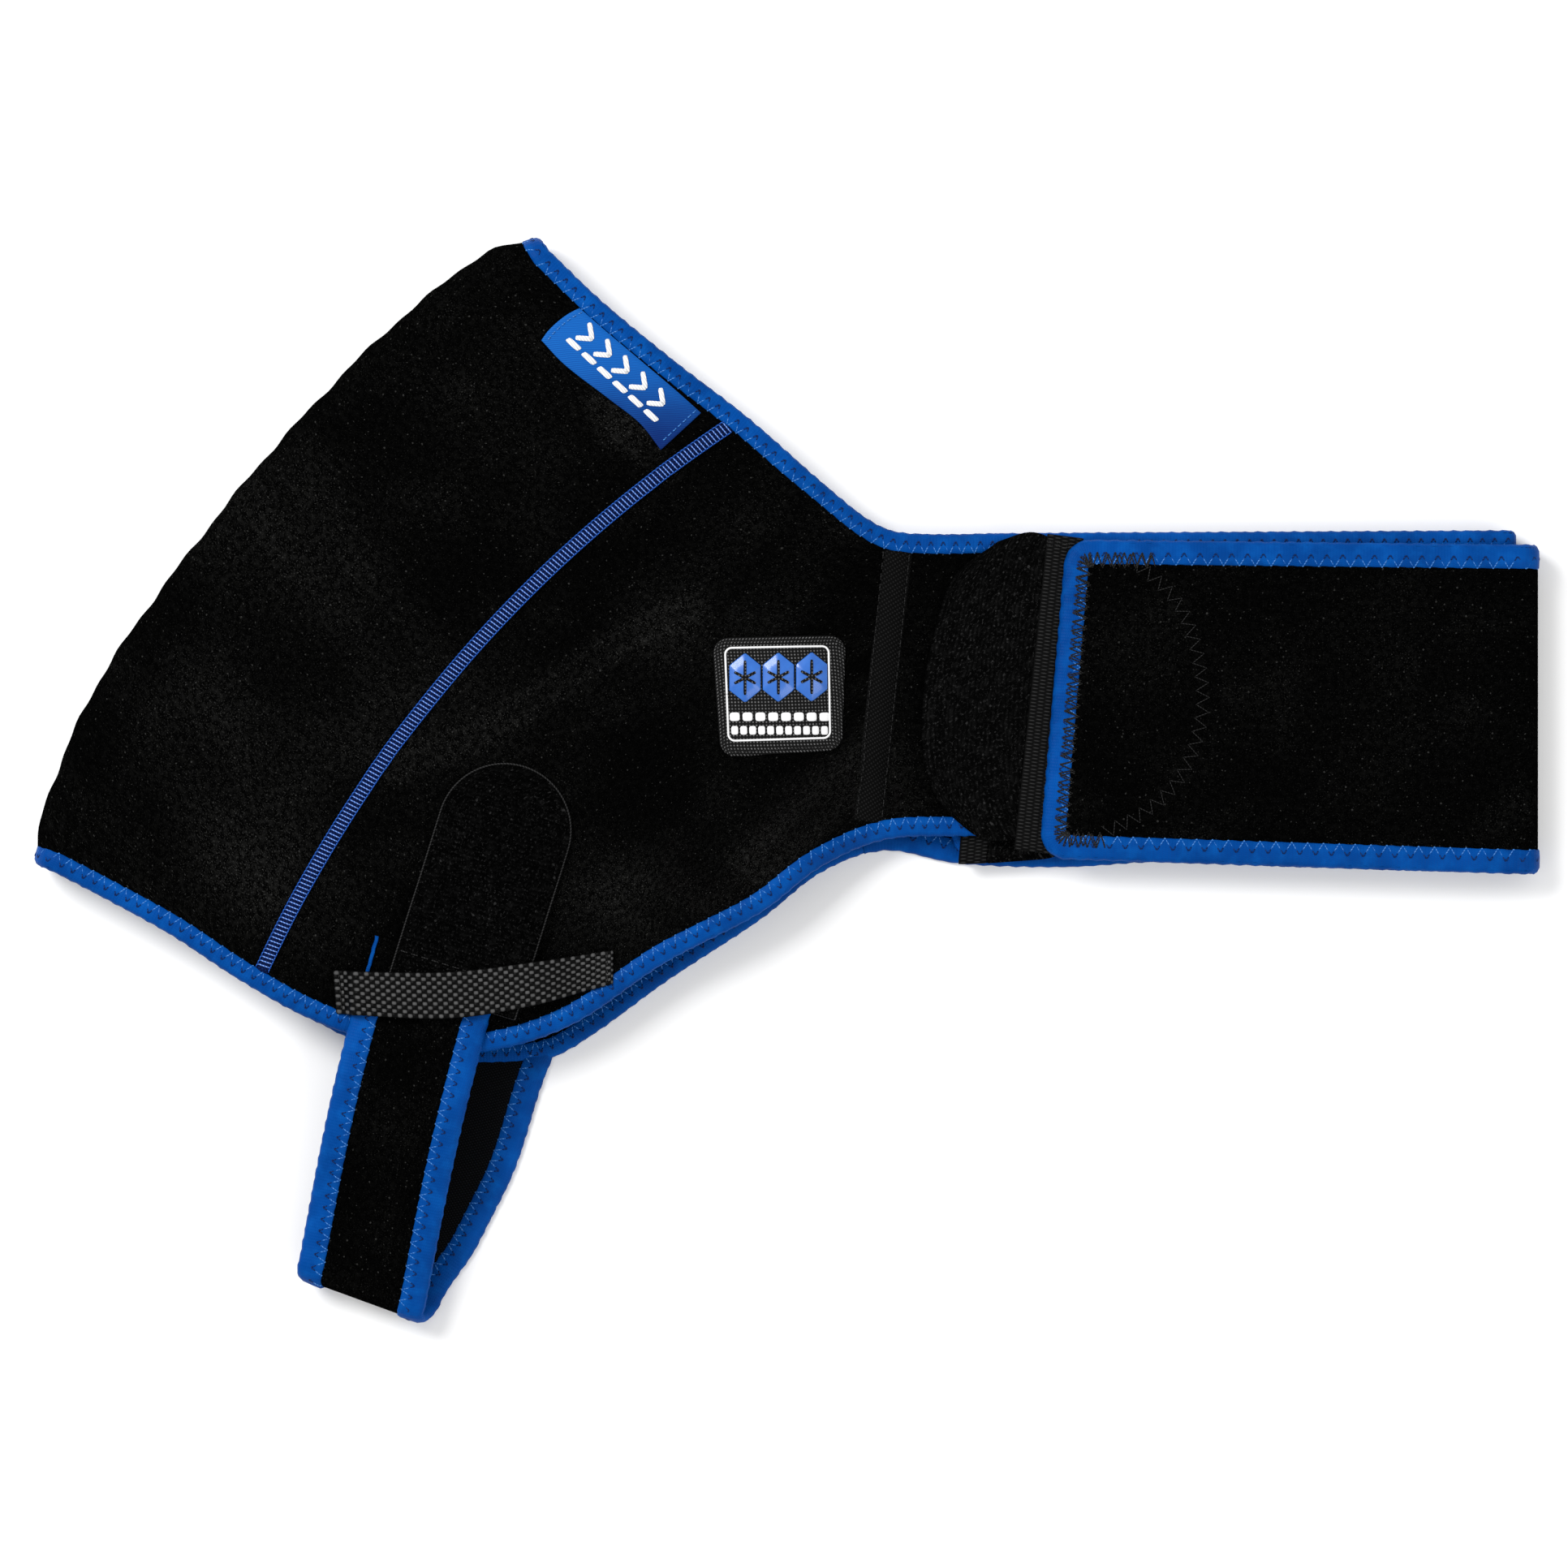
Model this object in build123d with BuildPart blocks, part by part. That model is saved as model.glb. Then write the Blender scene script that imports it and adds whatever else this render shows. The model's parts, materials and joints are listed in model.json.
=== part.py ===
from build123d import *
from math import cos, radians, sin
import os

os.makedirs("parts", exist_ok=True)

# A shoulder wrap of plush-faced neoprene, folded in half along its shoulder crease and lying on its rear half.
# Millimetres. X runs along the chest strap, Z is up, and the origin is under the middle of the folded wrap.

# Sheet thicknesses
neoprene = 3.0
binding_skin = 0.6
tape_skin = 0.6
thread = 0.4
liner_skin = 0.8
clear = 0.3

# Heights of the layers' undersides
pack_height = 4.5
rear_pack_low = neoprene + binding_skin + clear
rear_liner_low = rear_pack_low + pack_height + clear
shoulder_gap = 5.5
front_liner_low = rear_liner_low + liner_skin + shoulder_gap
front_pack_low = front_liner_low + liner_skin + clear
front_low = front_pack_low + pack_height + clear
fold_under_low = neoprene + binding_skin + clear
hook_pad_skin = 1.3
hook_skin = 0.7
pad_height = hook_pad_skin + hook_skin
front_pad_low = fold_under_low + neoprene + binding_skin + clear
wing_low = front_pad_low + pad_height
chest_pad_low = wing_low + neoprene + binding_skin + clear
top_run_low = chest_pad_low + pad_height

# Shoulder crease: an arc in plan, and half a tube in section
crease_centre = (181, -201)
crease_radius = 507
crease_start = 125.4
crease_sweep = 34.8
crease_tube = (front_low + neoprene) / 2

# Cap seam: an arc nearly parallel to the crease
seam_centre = (263.6, -289.3)
seam_radius = 515
seam_width = 5.5

# Edges of the two halves in plan
neck_corner = (-97, 211.2)
neck_bend = (39.3, 98.5)
neck_corner_radius = 10
neck_bend_radius = 55
front_lower_edge = [(-241, -58), (-194, -87), (-140, -104), (-95, -99), (-47, -69), (14, -31), (55, -19.5)]
rear_lower_edge = [(-241, -60), (-194, -91), (-140, -110), (-92, -107), (-47, -76), (14, -33), (60, -21)]
neck_binding_width = 9
lower_binding_width = 8
edge_lip = 0.8

# Chest straps
strap_end = 296
strap_high = 92.5
strap_low = -34
rear_fold_radius = (top_run_low + neoprene) / 2
rear_fold_x = strap_end - rear_fold_radius
front_strap_high = 98.5
front_strap_low = -19.5
front_fold_radius = (wing_low + neoprene - fold_under_low) / 2
front_fold_x = 282.5
strap_binding_width = 9
strap_corner_radius = 9
top_run_corners = [(117, 94.4), (105, -28)]
under_run_corners = [(77, 89), (66, -29)]

# Joint between the body and the chest strap, a line that leans a little
joint_low = (32, -21)
joint_high = (45, 100)
joint_tape_width = 12.8
joint_tape_top = 88
joint_tape_bottom = -9

# Slope of the front layer from the padded body down to the strap
slope_start = 0
slope_end = 46

# Chest hook pad
chest_pad_corners = [(66, 99), (54, -21)]
chest_pad_radii = [34, 24]
chest_pad_oval = (113, 35)
chest_pad_oval_radii = (51, 54)
chest_tape_width = 13
chest_tape_tuck = 1
chest_tape_top = 95
chest_tape_bottom = -21
chest_gap_top = 98
hook_margin = 3
front_tape_width = 9
front_tape_inset = (3, -2)
front_pad_reach = 44
front_pad_lean = 10
front_pad_rise = 4
front_pad_high = 86

# Gel packs and their pockets, placed square to the neck edge
pack_length = 185
pack_width = 100
pack_corner = 14
pack_weld = 7
pack_weld_skin = 0.8
pack_round = 1.6
pocket_clear = 1.5
neck_angle = 50.4
neck_out = (cos(radians(neck_angle)), sin(radians(neck_angle)))
neck_middle = (-29, 155)
pack_setback = 12
pack_shift = 14

# Arm strap
arm_width = 50
arm_fold_angle = -20
arm_front_angle = 77
arm_rear_angle = 63
arm_fold_right = (-141.5, -203.8)
arm_bend_radius = 9
arm_binding_width = 9.5
arm_top_low = front_low + neoprene + binding_skin + clear
arm_climb = 80
arm_front_length = 131
arm_rear_length = 132
arm_tuck_skin = 1.4

# Arm tab, keeper and label
tab_low_centre = (-127, -70)
tab_high_centre = (-109, -18)
tab_radius = 25
tab_skin = 1.8
tab_flap_skin = 1.5
tab_hinge = (-125, -70)
tab_hinge_slope = 0.059
tab_step_start = -57
tab_step_end = -35
tab_hook_skin = 0.6
tab_hook_start = 2
keeper_skin = 1.5
keeper_upper = [(-175.5, -73), (-118, -72), (-67, -65)]
keeper_lower = [(-67, -78), (-118, -90), (-174.2, -89.5)]
keeper_left_ramp = (-171.5, -167.5)
keeper_right_ramp = (-98, -80)
badge_corners = [(-28, 56), (23, 58), (21, 14), (-24, 11)]
badge_skin = 1.0
badge_relief = 0.5
badge_corner = 6
flake_centre = (-1.5, 40)
flake_arm = (24, 2.6)
bar_centres = [(-1.5, 23), (-1.5, 18.5)]
bar_size = (34, 2.4)
label_corner = 6
label_corners = [(-77, 186), (-94, 173), (-48, 131), (-31, 146)]
label_skin = 0.5

tall = 60
far = 400


def flat(plan, low, high):
    # a layer that lies level
    with BuildPart() as block:
        with BuildSketch(Plane.XY.offset(low)):
            add(plan)
        extrude(amount=high - low)
    return block.part


def draped(plan, low, high):
    # a layer of the front half: level over the body, then an S-shaped slope down to the strap
    middle = (slope_start + slope_end) / 2
    body, strap = front_low, wing_low
    with BuildPart() as block:
        with BuildSketch():
            add(plan)
        extrude(amount=tall)
        with BuildSketch(Plane.XZ.offset(-far)):
            with BuildLine():
                Line((-far, body + low), (slope_start, body + low))
                Bezier((slope_start, body + low), (middle, body + low), (middle, strap + low),
                       (slope_end, strap + low))
                Line((slope_end, strap + low), (far, strap + low))
                Line((far, strap + low), (far, strap + high))
                Line((far, strap + high), (slope_end, strap + high))
                Bezier((slope_end, strap + high), (middle, strap + high), (middle, body + high),
                       (slope_start, body + high))
                Line((slope_start, body + high), (-far, body + high))
                Line((-far, body + high), (-far, body + low))
            make_face()
        extrude(amount=2 * far, mode=Mode.INTERSECT)
    return block.part


def stepped(plan, start, start_low, end, end_low, skin, turn=0.0, origin=(0, 0)):
    # a layer that climbs in an S from start_low to end_low, measured along Y turned by an angle about origin
    section = Plane(origin=(origin[0], origin[1], 0), x_dir=(-sin(radians(turn)), cos(radians(turn)), 0),
                    z_dir=(cos(radians(turn)), sin(radians(turn)), 0))
    middle = (start + end) / 2
    with BuildPart() as block:
        with BuildSketch():
            add(plan)
        extrude(amount=tall)
        with BuildSketch(section.offset(-far)):
            with BuildLine():
                Line((-far, start_low), (start, start_low))
                Bezier((start, start_low), (middle, start_low), (middle, end_low), (end, end_low))
                Line((end, end_low), (far, end_low))
                Line((far, end_low), (far, end_low + skin))
                Line((far, end_low + skin), (end, end_low + skin))
                Bezier((end, end_low + skin), (middle, end_low + skin), (middle, start_low + skin),
                       (start, start_low + skin))
                Line((start, start_low + skin), (-far, start_low + skin))
                Line((-far, start_low + skin), (-far, start_low))
            make_face()
        extrude(amount=2 * far, mode=Mode.INTERSECT)
    return block.part


def band(path, width, plan):
    # the strip of a plan that lies within a width of one of its edges
    with BuildSketch() as strip:
        with BuildLine():
            add(path)
        trace(line_width=2 * width)
        add(plan, mode=Mode.INTERSECT)
    return strip.sketch


def inset(plan, *paths):
    # a plan cut back a little from its bound edges, for the cloth inside the binding
    with BuildSketch() as core:
        add(plan)
        for path in paths:
            add(band(path, edge_lip, plan), mode=Mode.SUBTRACT)
    return core.sketch


def polygon(points):
    with BuildSketch() as face:
        with BuildLine():
            Polyline(*points, close=True)
        make_face()
    return face.sketch


def rounded(points, radii):
    # a closed outline with its own radius at each corner, 0 for a sharp one
    with BuildSketch() as face:
        with BuildLine():
            Polyline(*points, close=True)
        make_face()
        for point, radius in zip(points, radii):
            if radius:
                fillet(face.vertices().sort_by_distance(point)[0], radius)
    return face.sketch


def overlap(first, second):
    with BuildSketch() as both:
        add(first)
        add(second, mode=Mode.INTERSECT)
    return both.sketch


def without(first, second):
    with BuildSketch() as rest:
        add(first)
        add(second, mode=Mode.SUBTRACT)
    return rest.sketch


def half_edges(lower_points, low, high, end):
    # the crease, lower and neck edges of one half of the folded wrap
    with BuildLine() as crease:
        CenterArc(crease_centre, crease_radius - crease_tube, crease_start, crease_sweep)
    top, bottom = crease.line @ 0, crease.line @ 1
    with BuildLine() as lower:
        spline = Spline(bottom, *lower_points)
        Line(spline @ 1, (end, low))
    with BuildLine() as neck:
        FilletPolyline(top, neck_corner, neck_bend, (end, high), radius=[neck_corner_radius, neck_bend_radius])
    return crease.line, lower.line, neck.line


def half_plan(edges):
    crease, lower, neck = edges
    with BuildSketch() as plan:
        with BuildLine():
            add(crease)
            add(lower)
            add(neck)
            Line(lower @ 1, neck @ 1)
        make_face()
    return plan.sketch


def seam_disc(radius):
    with BuildSketch() as disc:
        with Locations(seam_centre):
            Circle(radius)
    return disc.sketch


lean = (joint_high[0] - joint_low[0]) / (joint_high[1] - joint_low[1])


def joint_x(y):
    return joint_low[0] + lean * (y - joint_low[1])


strap_side = polygon([(joint_x(far), far), (far, far), (far, -far), (joint_x(-far), -far)])


# Plans of the two halves: cap, body and strap, cut from one outline
front_edges = half_edges(front_lower_edge, front_strap_low, front_strap_high, front_fold_x)
rear_edges = half_edges(rear_lower_edge, strap_low, strap_high, rear_fold_x)
front_plan = half_plan(front_edges)
rear_plan = half_plan(rear_edges)
front_body_plan = overlap(without(front_plan, strap_side), seam_disc(seam_radius))
rear_body_plan = overlap(without(rear_plan, strap_side), seam_disc(seam_radius))
front_cap_plan = without(without(front_plan, strap_side), seam_disc(seam_radius))
rear_cap_plan = without(without(rear_plan, strap_side), seam_disc(seam_radius))
seam_ring = without(seam_disc(seam_radius + seam_width / 2), seam_disc(seam_radius - seam_width / 2))
front_neck_band = band(front_edges[2], neck_binding_width, front_plan)
front_lower_band = band(front_edges[1], lower_binding_width, front_plan)
rear_neck_band = band(rear_edges[2], neck_binding_width, rear_plan)
rear_lower_band = band(rear_edges[1], lower_binding_width, rear_plan)
front_core = inset(front_plan, front_edges[1], front_edges[2])
rear_core = inset(rear_plan, rear_edges[1], rear_edges[2])
half_tape = joint_tape_width / 2
tape_plan = polygon([(joint_x(joint_tape_top) - half_tape, joint_tape_top),
                     (joint_x(joint_tape_top) + half_tape, joint_tape_top),
                     (joint_x(joint_tape_bottom) + half_tape, joint_tape_bottom),
                     (joint_x(joint_tape_bottom) - half_tape, joint_tape_bottom)])

# Arm strap: its fold line, and the plan of each leg
fold_line = (cos(radians(arm_fold_angle)), sin(radians(arm_fold_angle)))
arm_fold_left = (arm_fold_right[0] - arm_width * fold_line[0], arm_fold_right[1] - arm_width * fold_line[1])


def leg_points(angle, length, inner, outer, run=0.0):
    # a leg's stretch between two distances from its right edge, from the fold line up
    points = []
    for across, along in ((inner, run), (outer, run), (outer, length), (inner, length)):
        points.append((arm_fold_right[0] - across * fold_line[0] + along * cos(radians(angle)),
                       arm_fold_right[1] - across * fold_line[1] + along * sin(radians(angle))))
    return points


def leg_plan(angle, length):
    return polygon(leg_points(angle, length, 0, arm_width))


def leg_bands(angle, length):
    with BuildSketch() as bands:
        add(polygon(leg_points(angle, length, 0, arm_binding_width)))
        add(polygon(leg_points(angle, length, arm_width - arm_binding_width, arm_width)))
    return bands.sketch


def leg_core(angle, length):
    return polygon(leg_points(angle, length, edge_lip, arm_width - edge_lip))


def climbing(plan, low, skin):
    # a layer of the front leg, which climbs from the bend to the top of the body
    start_low = 2 * arm_bend_radius - neoprene + low
    return stepped(plan, 0, start_low, arm_climb, arm_top_low + low, skin, arm_fold_angle, arm_fold_right)


rear_leg_plan = leg_plan(arm_rear_angle, arm_rear_length)
rear_leg_bands = leg_bands(arm_rear_angle, arm_rear_length)
under_rear = flat(rear_plan, arm_tuck_skin, 2 * neoprene)

with BuildPart() as arm_rear_binding:
    add(flat(rear_leg_bands, 0, neoprene + binding_skin))
    add(flat(leg_core(arm_rear_angle, arm_rear_length), binding_skin, neoprene), mode=Mode.SUBTRACT)
    add(under_rear, mode=Mode.SUBTRACT)

with BuildPart() as arm_strap_rear_leg:
    add(flat(rear_leg_plan, 0, neoprene))
    add(under_rear, mode=Mode.SUBTRACT)
    add(arm_rear_binding.part, mode=Mode.SUBTRACT)

# Rear half, lying on the table
with BuildPart() as rear_neck_binding:
    add(flat(rear_neck_band, 0, neoprene + binding_skin))
    add(flat(rear_core, binding_skin, neoprene), mode=Mode.SUBTRACT)

with BuildPart() as rear_lower_binding:
    add(flat(rear_lower_band, 0, neoprene + binding_skin))
    add(flat(rear_core, binding_skin, neoprene), mode=Mode.SUBTRACT)
    add(flat(rear_leg_plan, 0, arm_tuck_skin), mode=Mode.SUBTRACT)

with BuildPart() as rear_seam_thread:
    add(flat(without(overlap(seam_ring, rear_plan), rear_lower_band), 0, thread))
    add(flat(rear_neck_band, 0, neoprene), mode=Mode.SUBTRACT)
    add(flat(rear_leg_plan, 0, arm_tuck_skin), mode=Mode.SUBTRACT)

with BuildPart() as rear_joint_tape:
    add(flat(tape_plan, 0, tape_skin))


def rear_cloth(plan):
    with BuildPart() as cloth:
        add(flat(plan, 0, neoprene))
        for sewn in (rear_neck_binding, rear_lower_binding, rear_seam_thread, rear_joint_tape):
            add(sewn.part, mode=Mode.SUBTRACT)
        add(flat(rear_leg_plan, 0, arm_tuck_skin), mode=Mode.SUBTRACT)
    return cloth.part


with BuildPart() as rear_cap_panel:
    add(rear_cloth(rear_cap_plan))

with BuildPart() as rear_body_panel:
    add(rear_cloth(rear_body_plan))

with BuildPart() as rear_strap_lower_run:
    add(rear_cloth(overlap(rear_plan, strap_side)))

# Shoulder crease, where the cap turns over
crease_out = radians(crease_start)
with BuildPart() as cap_crease:
    with BuildSketch(Plane(origin=(*crease_centre, 0), x_dir=(cos(crease_out), sin(crease_out), 0),
                           z_dir=(sin(crease_out), -cos(crease_out), 0))):
        with Locations((crease_radius - crease_tube, crease_tube)):
            Circle(crease_tube)
            Circle(crease_tube - neoprene, mode=Mode.SUBTRACT)
        with Locations((crease_radius - 2 * crease_tube, crease_tube)):
            Rectangle(2 * crease_tube, 2 * crease_tube, mode=Mode.SUBTRACT)
    revolve(axis=Axis((*crease_centre, 0), (0, 0, 1)), revolution_arc=crease_sweep)

# Front half, draped over the packs and down to the strap
with BuildPart() as front_neck_binding:
    add(draped(front_neck_band, 0, neoprene + binding_skin))
    add(draped(front_core, binding_skin, neoprene), mode=Mode.SUBTRACT)

with BuildPart() as front_lower_binding:
    add(draped(front_lower_band, 0, neoprene + binding_skin))
    add(draped(front_core, binding_skin, neoprene), mode=Mode.SUBTRACT)


def front_cloth(plan):
    with BuildPart() as cloth:
        add(draped(plan, 0, neoprene))
        add(front_neck_binding.part, mode=Mode.SUBTRACT)
        add(front_lower_binding.part, mode=Mode.SUBTRACT)
    return cloth.part


with BuildPart() as front_cap_panel:
    add(front_cloth(front_cap_plan))

with BuildPart() as front_body_panel:
    add(front_cloth(front_body_plan))

front_inner = without(without(front_plan, front_neck_band), front_lower_band)
with BuildPart() as front_seam_thread:
    add(draped(overlap(seam_ring, front_inner), neoprene, neoprene + thread))

with BuildPart() as front_joint_tape:
    add(draped(tape_plan, neoprene, neoprene + tape_skin))

# Front chest strap: the wing, its fold, and the run folded back under it
under_run = rounded([(front_fold_x, front_strap_high), under_run_corners[0], under_run_corners[1],
                     (front_fold_x, front_strap_low)], [0, strap_corner_radius, strap_corner_radius, 0])
with BuildPart() as front_chest_strap:
    add(front_cloth(overlap(front_plan, strap_side)))
    add(flat(under_run, fold_under_low, fold_under_low + neoprene))
    with BuildSketch(Plane.XZ.offset(-front_strap_high)):
        with Locations((front_fold_x, fold_under_low + front_fold_radius)):
            Circle(front_fold_radius)
            Circle(front_fold_radius - neoprene, mode=Mode.SUBTRACT)
        with Locations((front_fold_x - front_fold_radius, fold_under_low + front_fold_radius)):
            Rectangle(2 * front_fold_radius, 4 * front_fold_radius, mode=Mode.SUBTRACT)
    extrude(amount=front_strap_high - front_strap_low)

front_tape_left = under_run_corners[1][0] + front_tape_inset[0]
front_tape_low = under_run_corners[1][1] + front_tape_inset[1]
front_pad_left = front_tape_left + front_tape_width
with BuildPart() as front_pad_tape:
    front_tape = polygon([(front_tape_left, front_tape_low), (front_pad_left, front_tape_low),
                          (front_pad_left + front_pad_lean, front_pad_high),
                          (front_tape_left + front_pad_lean, front_pad_high)])
    add(flat(front_tape, front_pad_low, front_pad_low + pad_height))

with BuildPart() as front_hook_pad:
    reach = front_pad_left + front_pad_reach
    front_d = rounded([(front_pad_left, front_tape_low), (reach, front_tape_low + front_pad_rise),
                       (reach + front_pad_lean, front_pad_high),
                       (front_pad_left + front_pad_lean, front_pad_high)],
                      [0, *chest_pad_radii, 0])
    add(flat(front_d, front_pad_low, front_pad_low + pad_height))

# Rear chest strap: the fold on the right, and the top run over the front strap
top_left, top_low = top_run_corners
top_run = rounded([(rear_fold_x, strap_high), top_left, top_low, (rear_fold_x, strap_low)],
                  [0, strap_corner_radius, strap_corner_radius, 0])
with BuildPart() as rear_strap_fold:
    with BuildSketch(Plane.XZ.offset(-strap_high)):
        with Locations((rear_fold_x, rear_fold_radius)):
            Circle(rear_fold_radius)
            Circle(rear_fold_radius - neoprene, mode=Mode.SUBTRACT)
        with Locations((rear_fold_x - rear_fold_radius, rear_fold_radius)):
            Rectangle(2 * rear_fold_radius, 4 * rear_fold_radius, mode=Mode.SUBTRACT)
    extrude(amount=strap_high - strap_low)

with BuildSketch() as top_inner:
    offset(top_run, amount=-strap_binding_width)
    with Locations((rear_fold_x, (strap_high + strap_low) / 2)):
        Rectangle(4 * strap_binding_width, strap_high - strap_low - 2 * strap_binding_width)
with BuildSketch() as top_core:
    offset(top_run, amount=-edge_lip)
    with Locations((rear_fold_x, (strap_high + strap_low) / 2)):
        Rectangle(4 * strap_binding_width, strap_high - strap_low - 2 * edge_lip)
top_band = without(top_run, top_inner.sketch)
top_cloth = overlap(top_core.sketch, top_run)

with BuildPart() as strap_top_binding:
    add(flat(top_band, top_run_low, top_run_low + neoprene + binding_skin))
    add(flat(top_cloth, top_run_low + binding_skin, top_run_low + neoprene), mode=Mode.SUBTRACT)

with BuildPart() as strap_top_run:
    add(flat(top_run, top_run_low, top_run_low + neoprene))
    add(strap_top_binding.part, mode=Mode.SUBTRACT)

# Chest hook pad: a half oval sewn under the strap's end, a ribbed tape, and the half that peels
tape_right = [(top_left[0] - chest_tape_tuck, chest_tape_top),
              (top_low[0] - chest_tape_tuck, chest_tape_bottom)]
tape_left = [(x - chest_tape_width, y) for x, y in tape_right]
with BuildSketch() as oval:
    with Locations(chest_pad_oval):
        Ellipse(*chest_pad_oval_radii)
right_of_tape = polygon([tape_right[0], (far, chest_tape_top), (far, chest_tape_bottom), tape_right[1]])
with BuildPart() as chest_pad_sewn:
    sewn_plan = overlap(overlap(oval.sketch, right_of_tape), top_run)
    add(flat(sewn_plan, chest_pad_low, top_run_low))

with BuildPart() as chest_pad_tape:
    add(flat(polygon([*tape_right, tape_left[1], tape_left[0]]), chest_pad_low, top_run_low))

gap_left = [(x - clear, y) for x, y in tape_left]
chest_d = rounded([(gap_left[0][0], chest_gap_top), chest_pad_corners[0], chest_pad_corners[1], gap_left[1]],
                  [0, *chest_pad_radii, 0])
with BuildPart() as chest_hook_pad:
    add(flat(chest_d, chest_pad_low + hook_skin, top_run_low))

with BuildSketch() as hook_plan:
    offset(chest_d, amount=-hook_margin)
with BuildPart() as chest_hook_field:
    add(flat(hook_plan.sketch, chest_pad_low, chest_pad_low + hook_skin))

# Gel packs and their pockets
along_neck = (-neck_out[1], neck_out[0])


def pocket_plane(height, setback):
    # the plane of a pocket: local X runs out through the mouth, and local Y along the neck edge
    place = [neck_middle[i] - neck_out[i] * setback + along_neck[i] * pack_shift for i in (0, 1)]
    return Plane(origin=(*place, height), x_dir=(*neck_out, 0), z_dir=(0, 0, 1))


def gel_pack_solid(low):
    middle = low + pack_height / 2
    with BuildPart() as gel:
        with BuildSketch(pocket_plane(middle - pack_weld_skin / 2, pack_setback + pack_length / 2)):
            RectangleRounded(pack_length, pack_width, pack_corner)
        extrude(amount=pack_weld_skin)
        with BuildSketch(pocket_plane(low, pack_setback + pack_length / 2)):
            RectangleRounded(pack_length - 2 * pack_weld, pack_width - 2 * pack_weld, pack_corner - pack_weld / 2)
        extrude(amount=pack_height)
        caps = gel.faces().filter_by(Axis.Z)
        fillet(caps.sort_by(Axis.Z)[0].edges(), pack_round)
        fillet(gel.faces().filter_by(Axis.Z).sort_by(Axis.Z)[-1].edges(), pack_round)
    return gel.part


def pocket_solid(low, high, liner_low):
    # a tray sewn to its panel on three sides, open at the neck edge
    inside = pack_width + 2 * pocket_clear
    depth = pack_length + pocket_clear + pack_setback - neck_binding_width - 1
    centre = neck_binding_width + 1 + depth / 2
    with BuildPart() as tray:
        with BuildSketch(pocket_plane(low, centre + liner_skin / 2)):
            Rectangle(depth + liner_skin, inside + 2 * liner_skin)
        extrude(amount=high - low)
        with BuildSketch(pocket_plane(low if liner_low > low else low + liner_skin, centre - liner_skin)):
            Rectangle(depth + 2 * liner_skin, inside)
        extrude(amount=high - low - liner_skin, mode=Mode.SUBTRACT)
    return tray.part


with BuildPart() as rear_gel_pack:
    add(gel_pack_solid(rear_pack_low))

with BuildPart() as front_gel_pack:
    add(gel_pack_solid(front_pack_low))

with BuildPart() as rear_pocket_liner:
    add(pocket_solid(neoprene, rear_liner_low + liner_skin, rear_liner_low))

with BuildPart() as front_pocket_liner:
    add(pocket_solid(front_liner_low, front_low, front_liner_low))

# Arm strap's bend and front leg
bend_plane = Plane(origin=(*arm_fold_right, 0), x_dir=(fold_line[1], -fold_line[0], 0),
                   z_dir=(-fold_line[0], -fold_line[1], 0))


def bend_ring(inner, outer, start, end):
    with BuildPart() as ring:
        with BuildSketch(bend_plane.offset(start)):
            with Locations((0, arm_bend_radius)):
                Circle(outer)
                Circle(inner, mode=Mode.SUBTRACT)
            with Locations((-arm_bend_radius, arm_bend_radius)):
                Rectangle(2 * arm_bend_radius, 4 * arm_bend_radius, mode=Mode.SUBTRACT)
        extrude(amount=end - start)
    return ring.part


bend_inner = arm_bend_radius - neoprene
with BuildPart() as arm_bend_binding:
    for start in (0, arm_width - arm_binding_width):
        add(bend_ring(bend_inner - binding_skin, arm_bend_radius, start, start + arm_binding_width))
    add(bend_ring(bend_inner, arm_bend_radius - binding_skin, edge_lip, arm_width - edge_lip), mode=Mode.SUBTRACT)

with BuildPart() as arm_strap_bend:
    add(bend_ring(bend_inner, arm_bend_radius, 0, arm_width))
    add(arm_bend_binding.part, mode=Mode.SUBTRACT)

front_bands = leg_bands(arm_front_angle, arm_front_length)
with BuildPart() as arm_front_binding:
    add(climbing(front_bands, 0, neoprene + binding_skin))
    add(climbing(leg_core(arm_front_angle, arm_front_length), binding_skin, neoprene - binding_skin),
        mode=Mode.SUBTRACT)

with BuildPart() as arm_strap_front_leg:
    add(climbing(leg_plan(arm_front_angle, arm_front_length), 0, neoprene))
    add(arm_front_binding.part, mode=Mode.SUBTRACT)

# Arm tab: the half sewn to the strap, and the half that peels off the front panel
with BuildSketch() as tab_plan:
    with BuildLine():
        Line(tab_low_centre, tab_high_centre)
    trace(line_width=2 * tab_radius)
    with Locations(tab_low_centre, tab_high_centre):
        Circle(tab_radius)


def hinge_y(x):
    return tab_hinge[1] + tab_hinge_slope * (x - tab_hinge[0])


above_hinge = polygon([(-far, hinge_y(-far)), (far, hinge_y(far)), (far, far), (-far, far)])
strap_top = arm_top_low + neoprene
tab_top = strap_top + tab_skin
tab_sewn_plan = overlap(without(tab_plan.sketch, above_hinge), leg_plan(arm_front_angle, arm_front_length))
with BuildPart() as arm_tab_sewn:
    add(flat(tab_sewn_plan, strap_top, tab_top))
    add(arm_front_binding.part, mode=Mode.SUBTRACT)

flap_low = front_low + neoprene + clear + tab_hook_skin
with BuildPart() as arm_tab_flap:
    add(stepped(overlap(tab_plan.sketch, above_hinge), tab_step_start, strap_top + binding_skin + clear,
                tab_step_end, flap_low, tab_flap_skin))

with BuildSketch() as tab_hooks:
    offset(tab_plan.sketch, amount=-hook_margin)
    with Locations((0, tab_step_end + tab_hook_start - far / 2)):
        Rectangle(far, far, mode=Mode.SUBTRACT)
with BuildPart() as arm_tab_hooks:
    add(flat(tab_hooks.sketch, flap_low - tab_hook_skin, flap_low))

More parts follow.
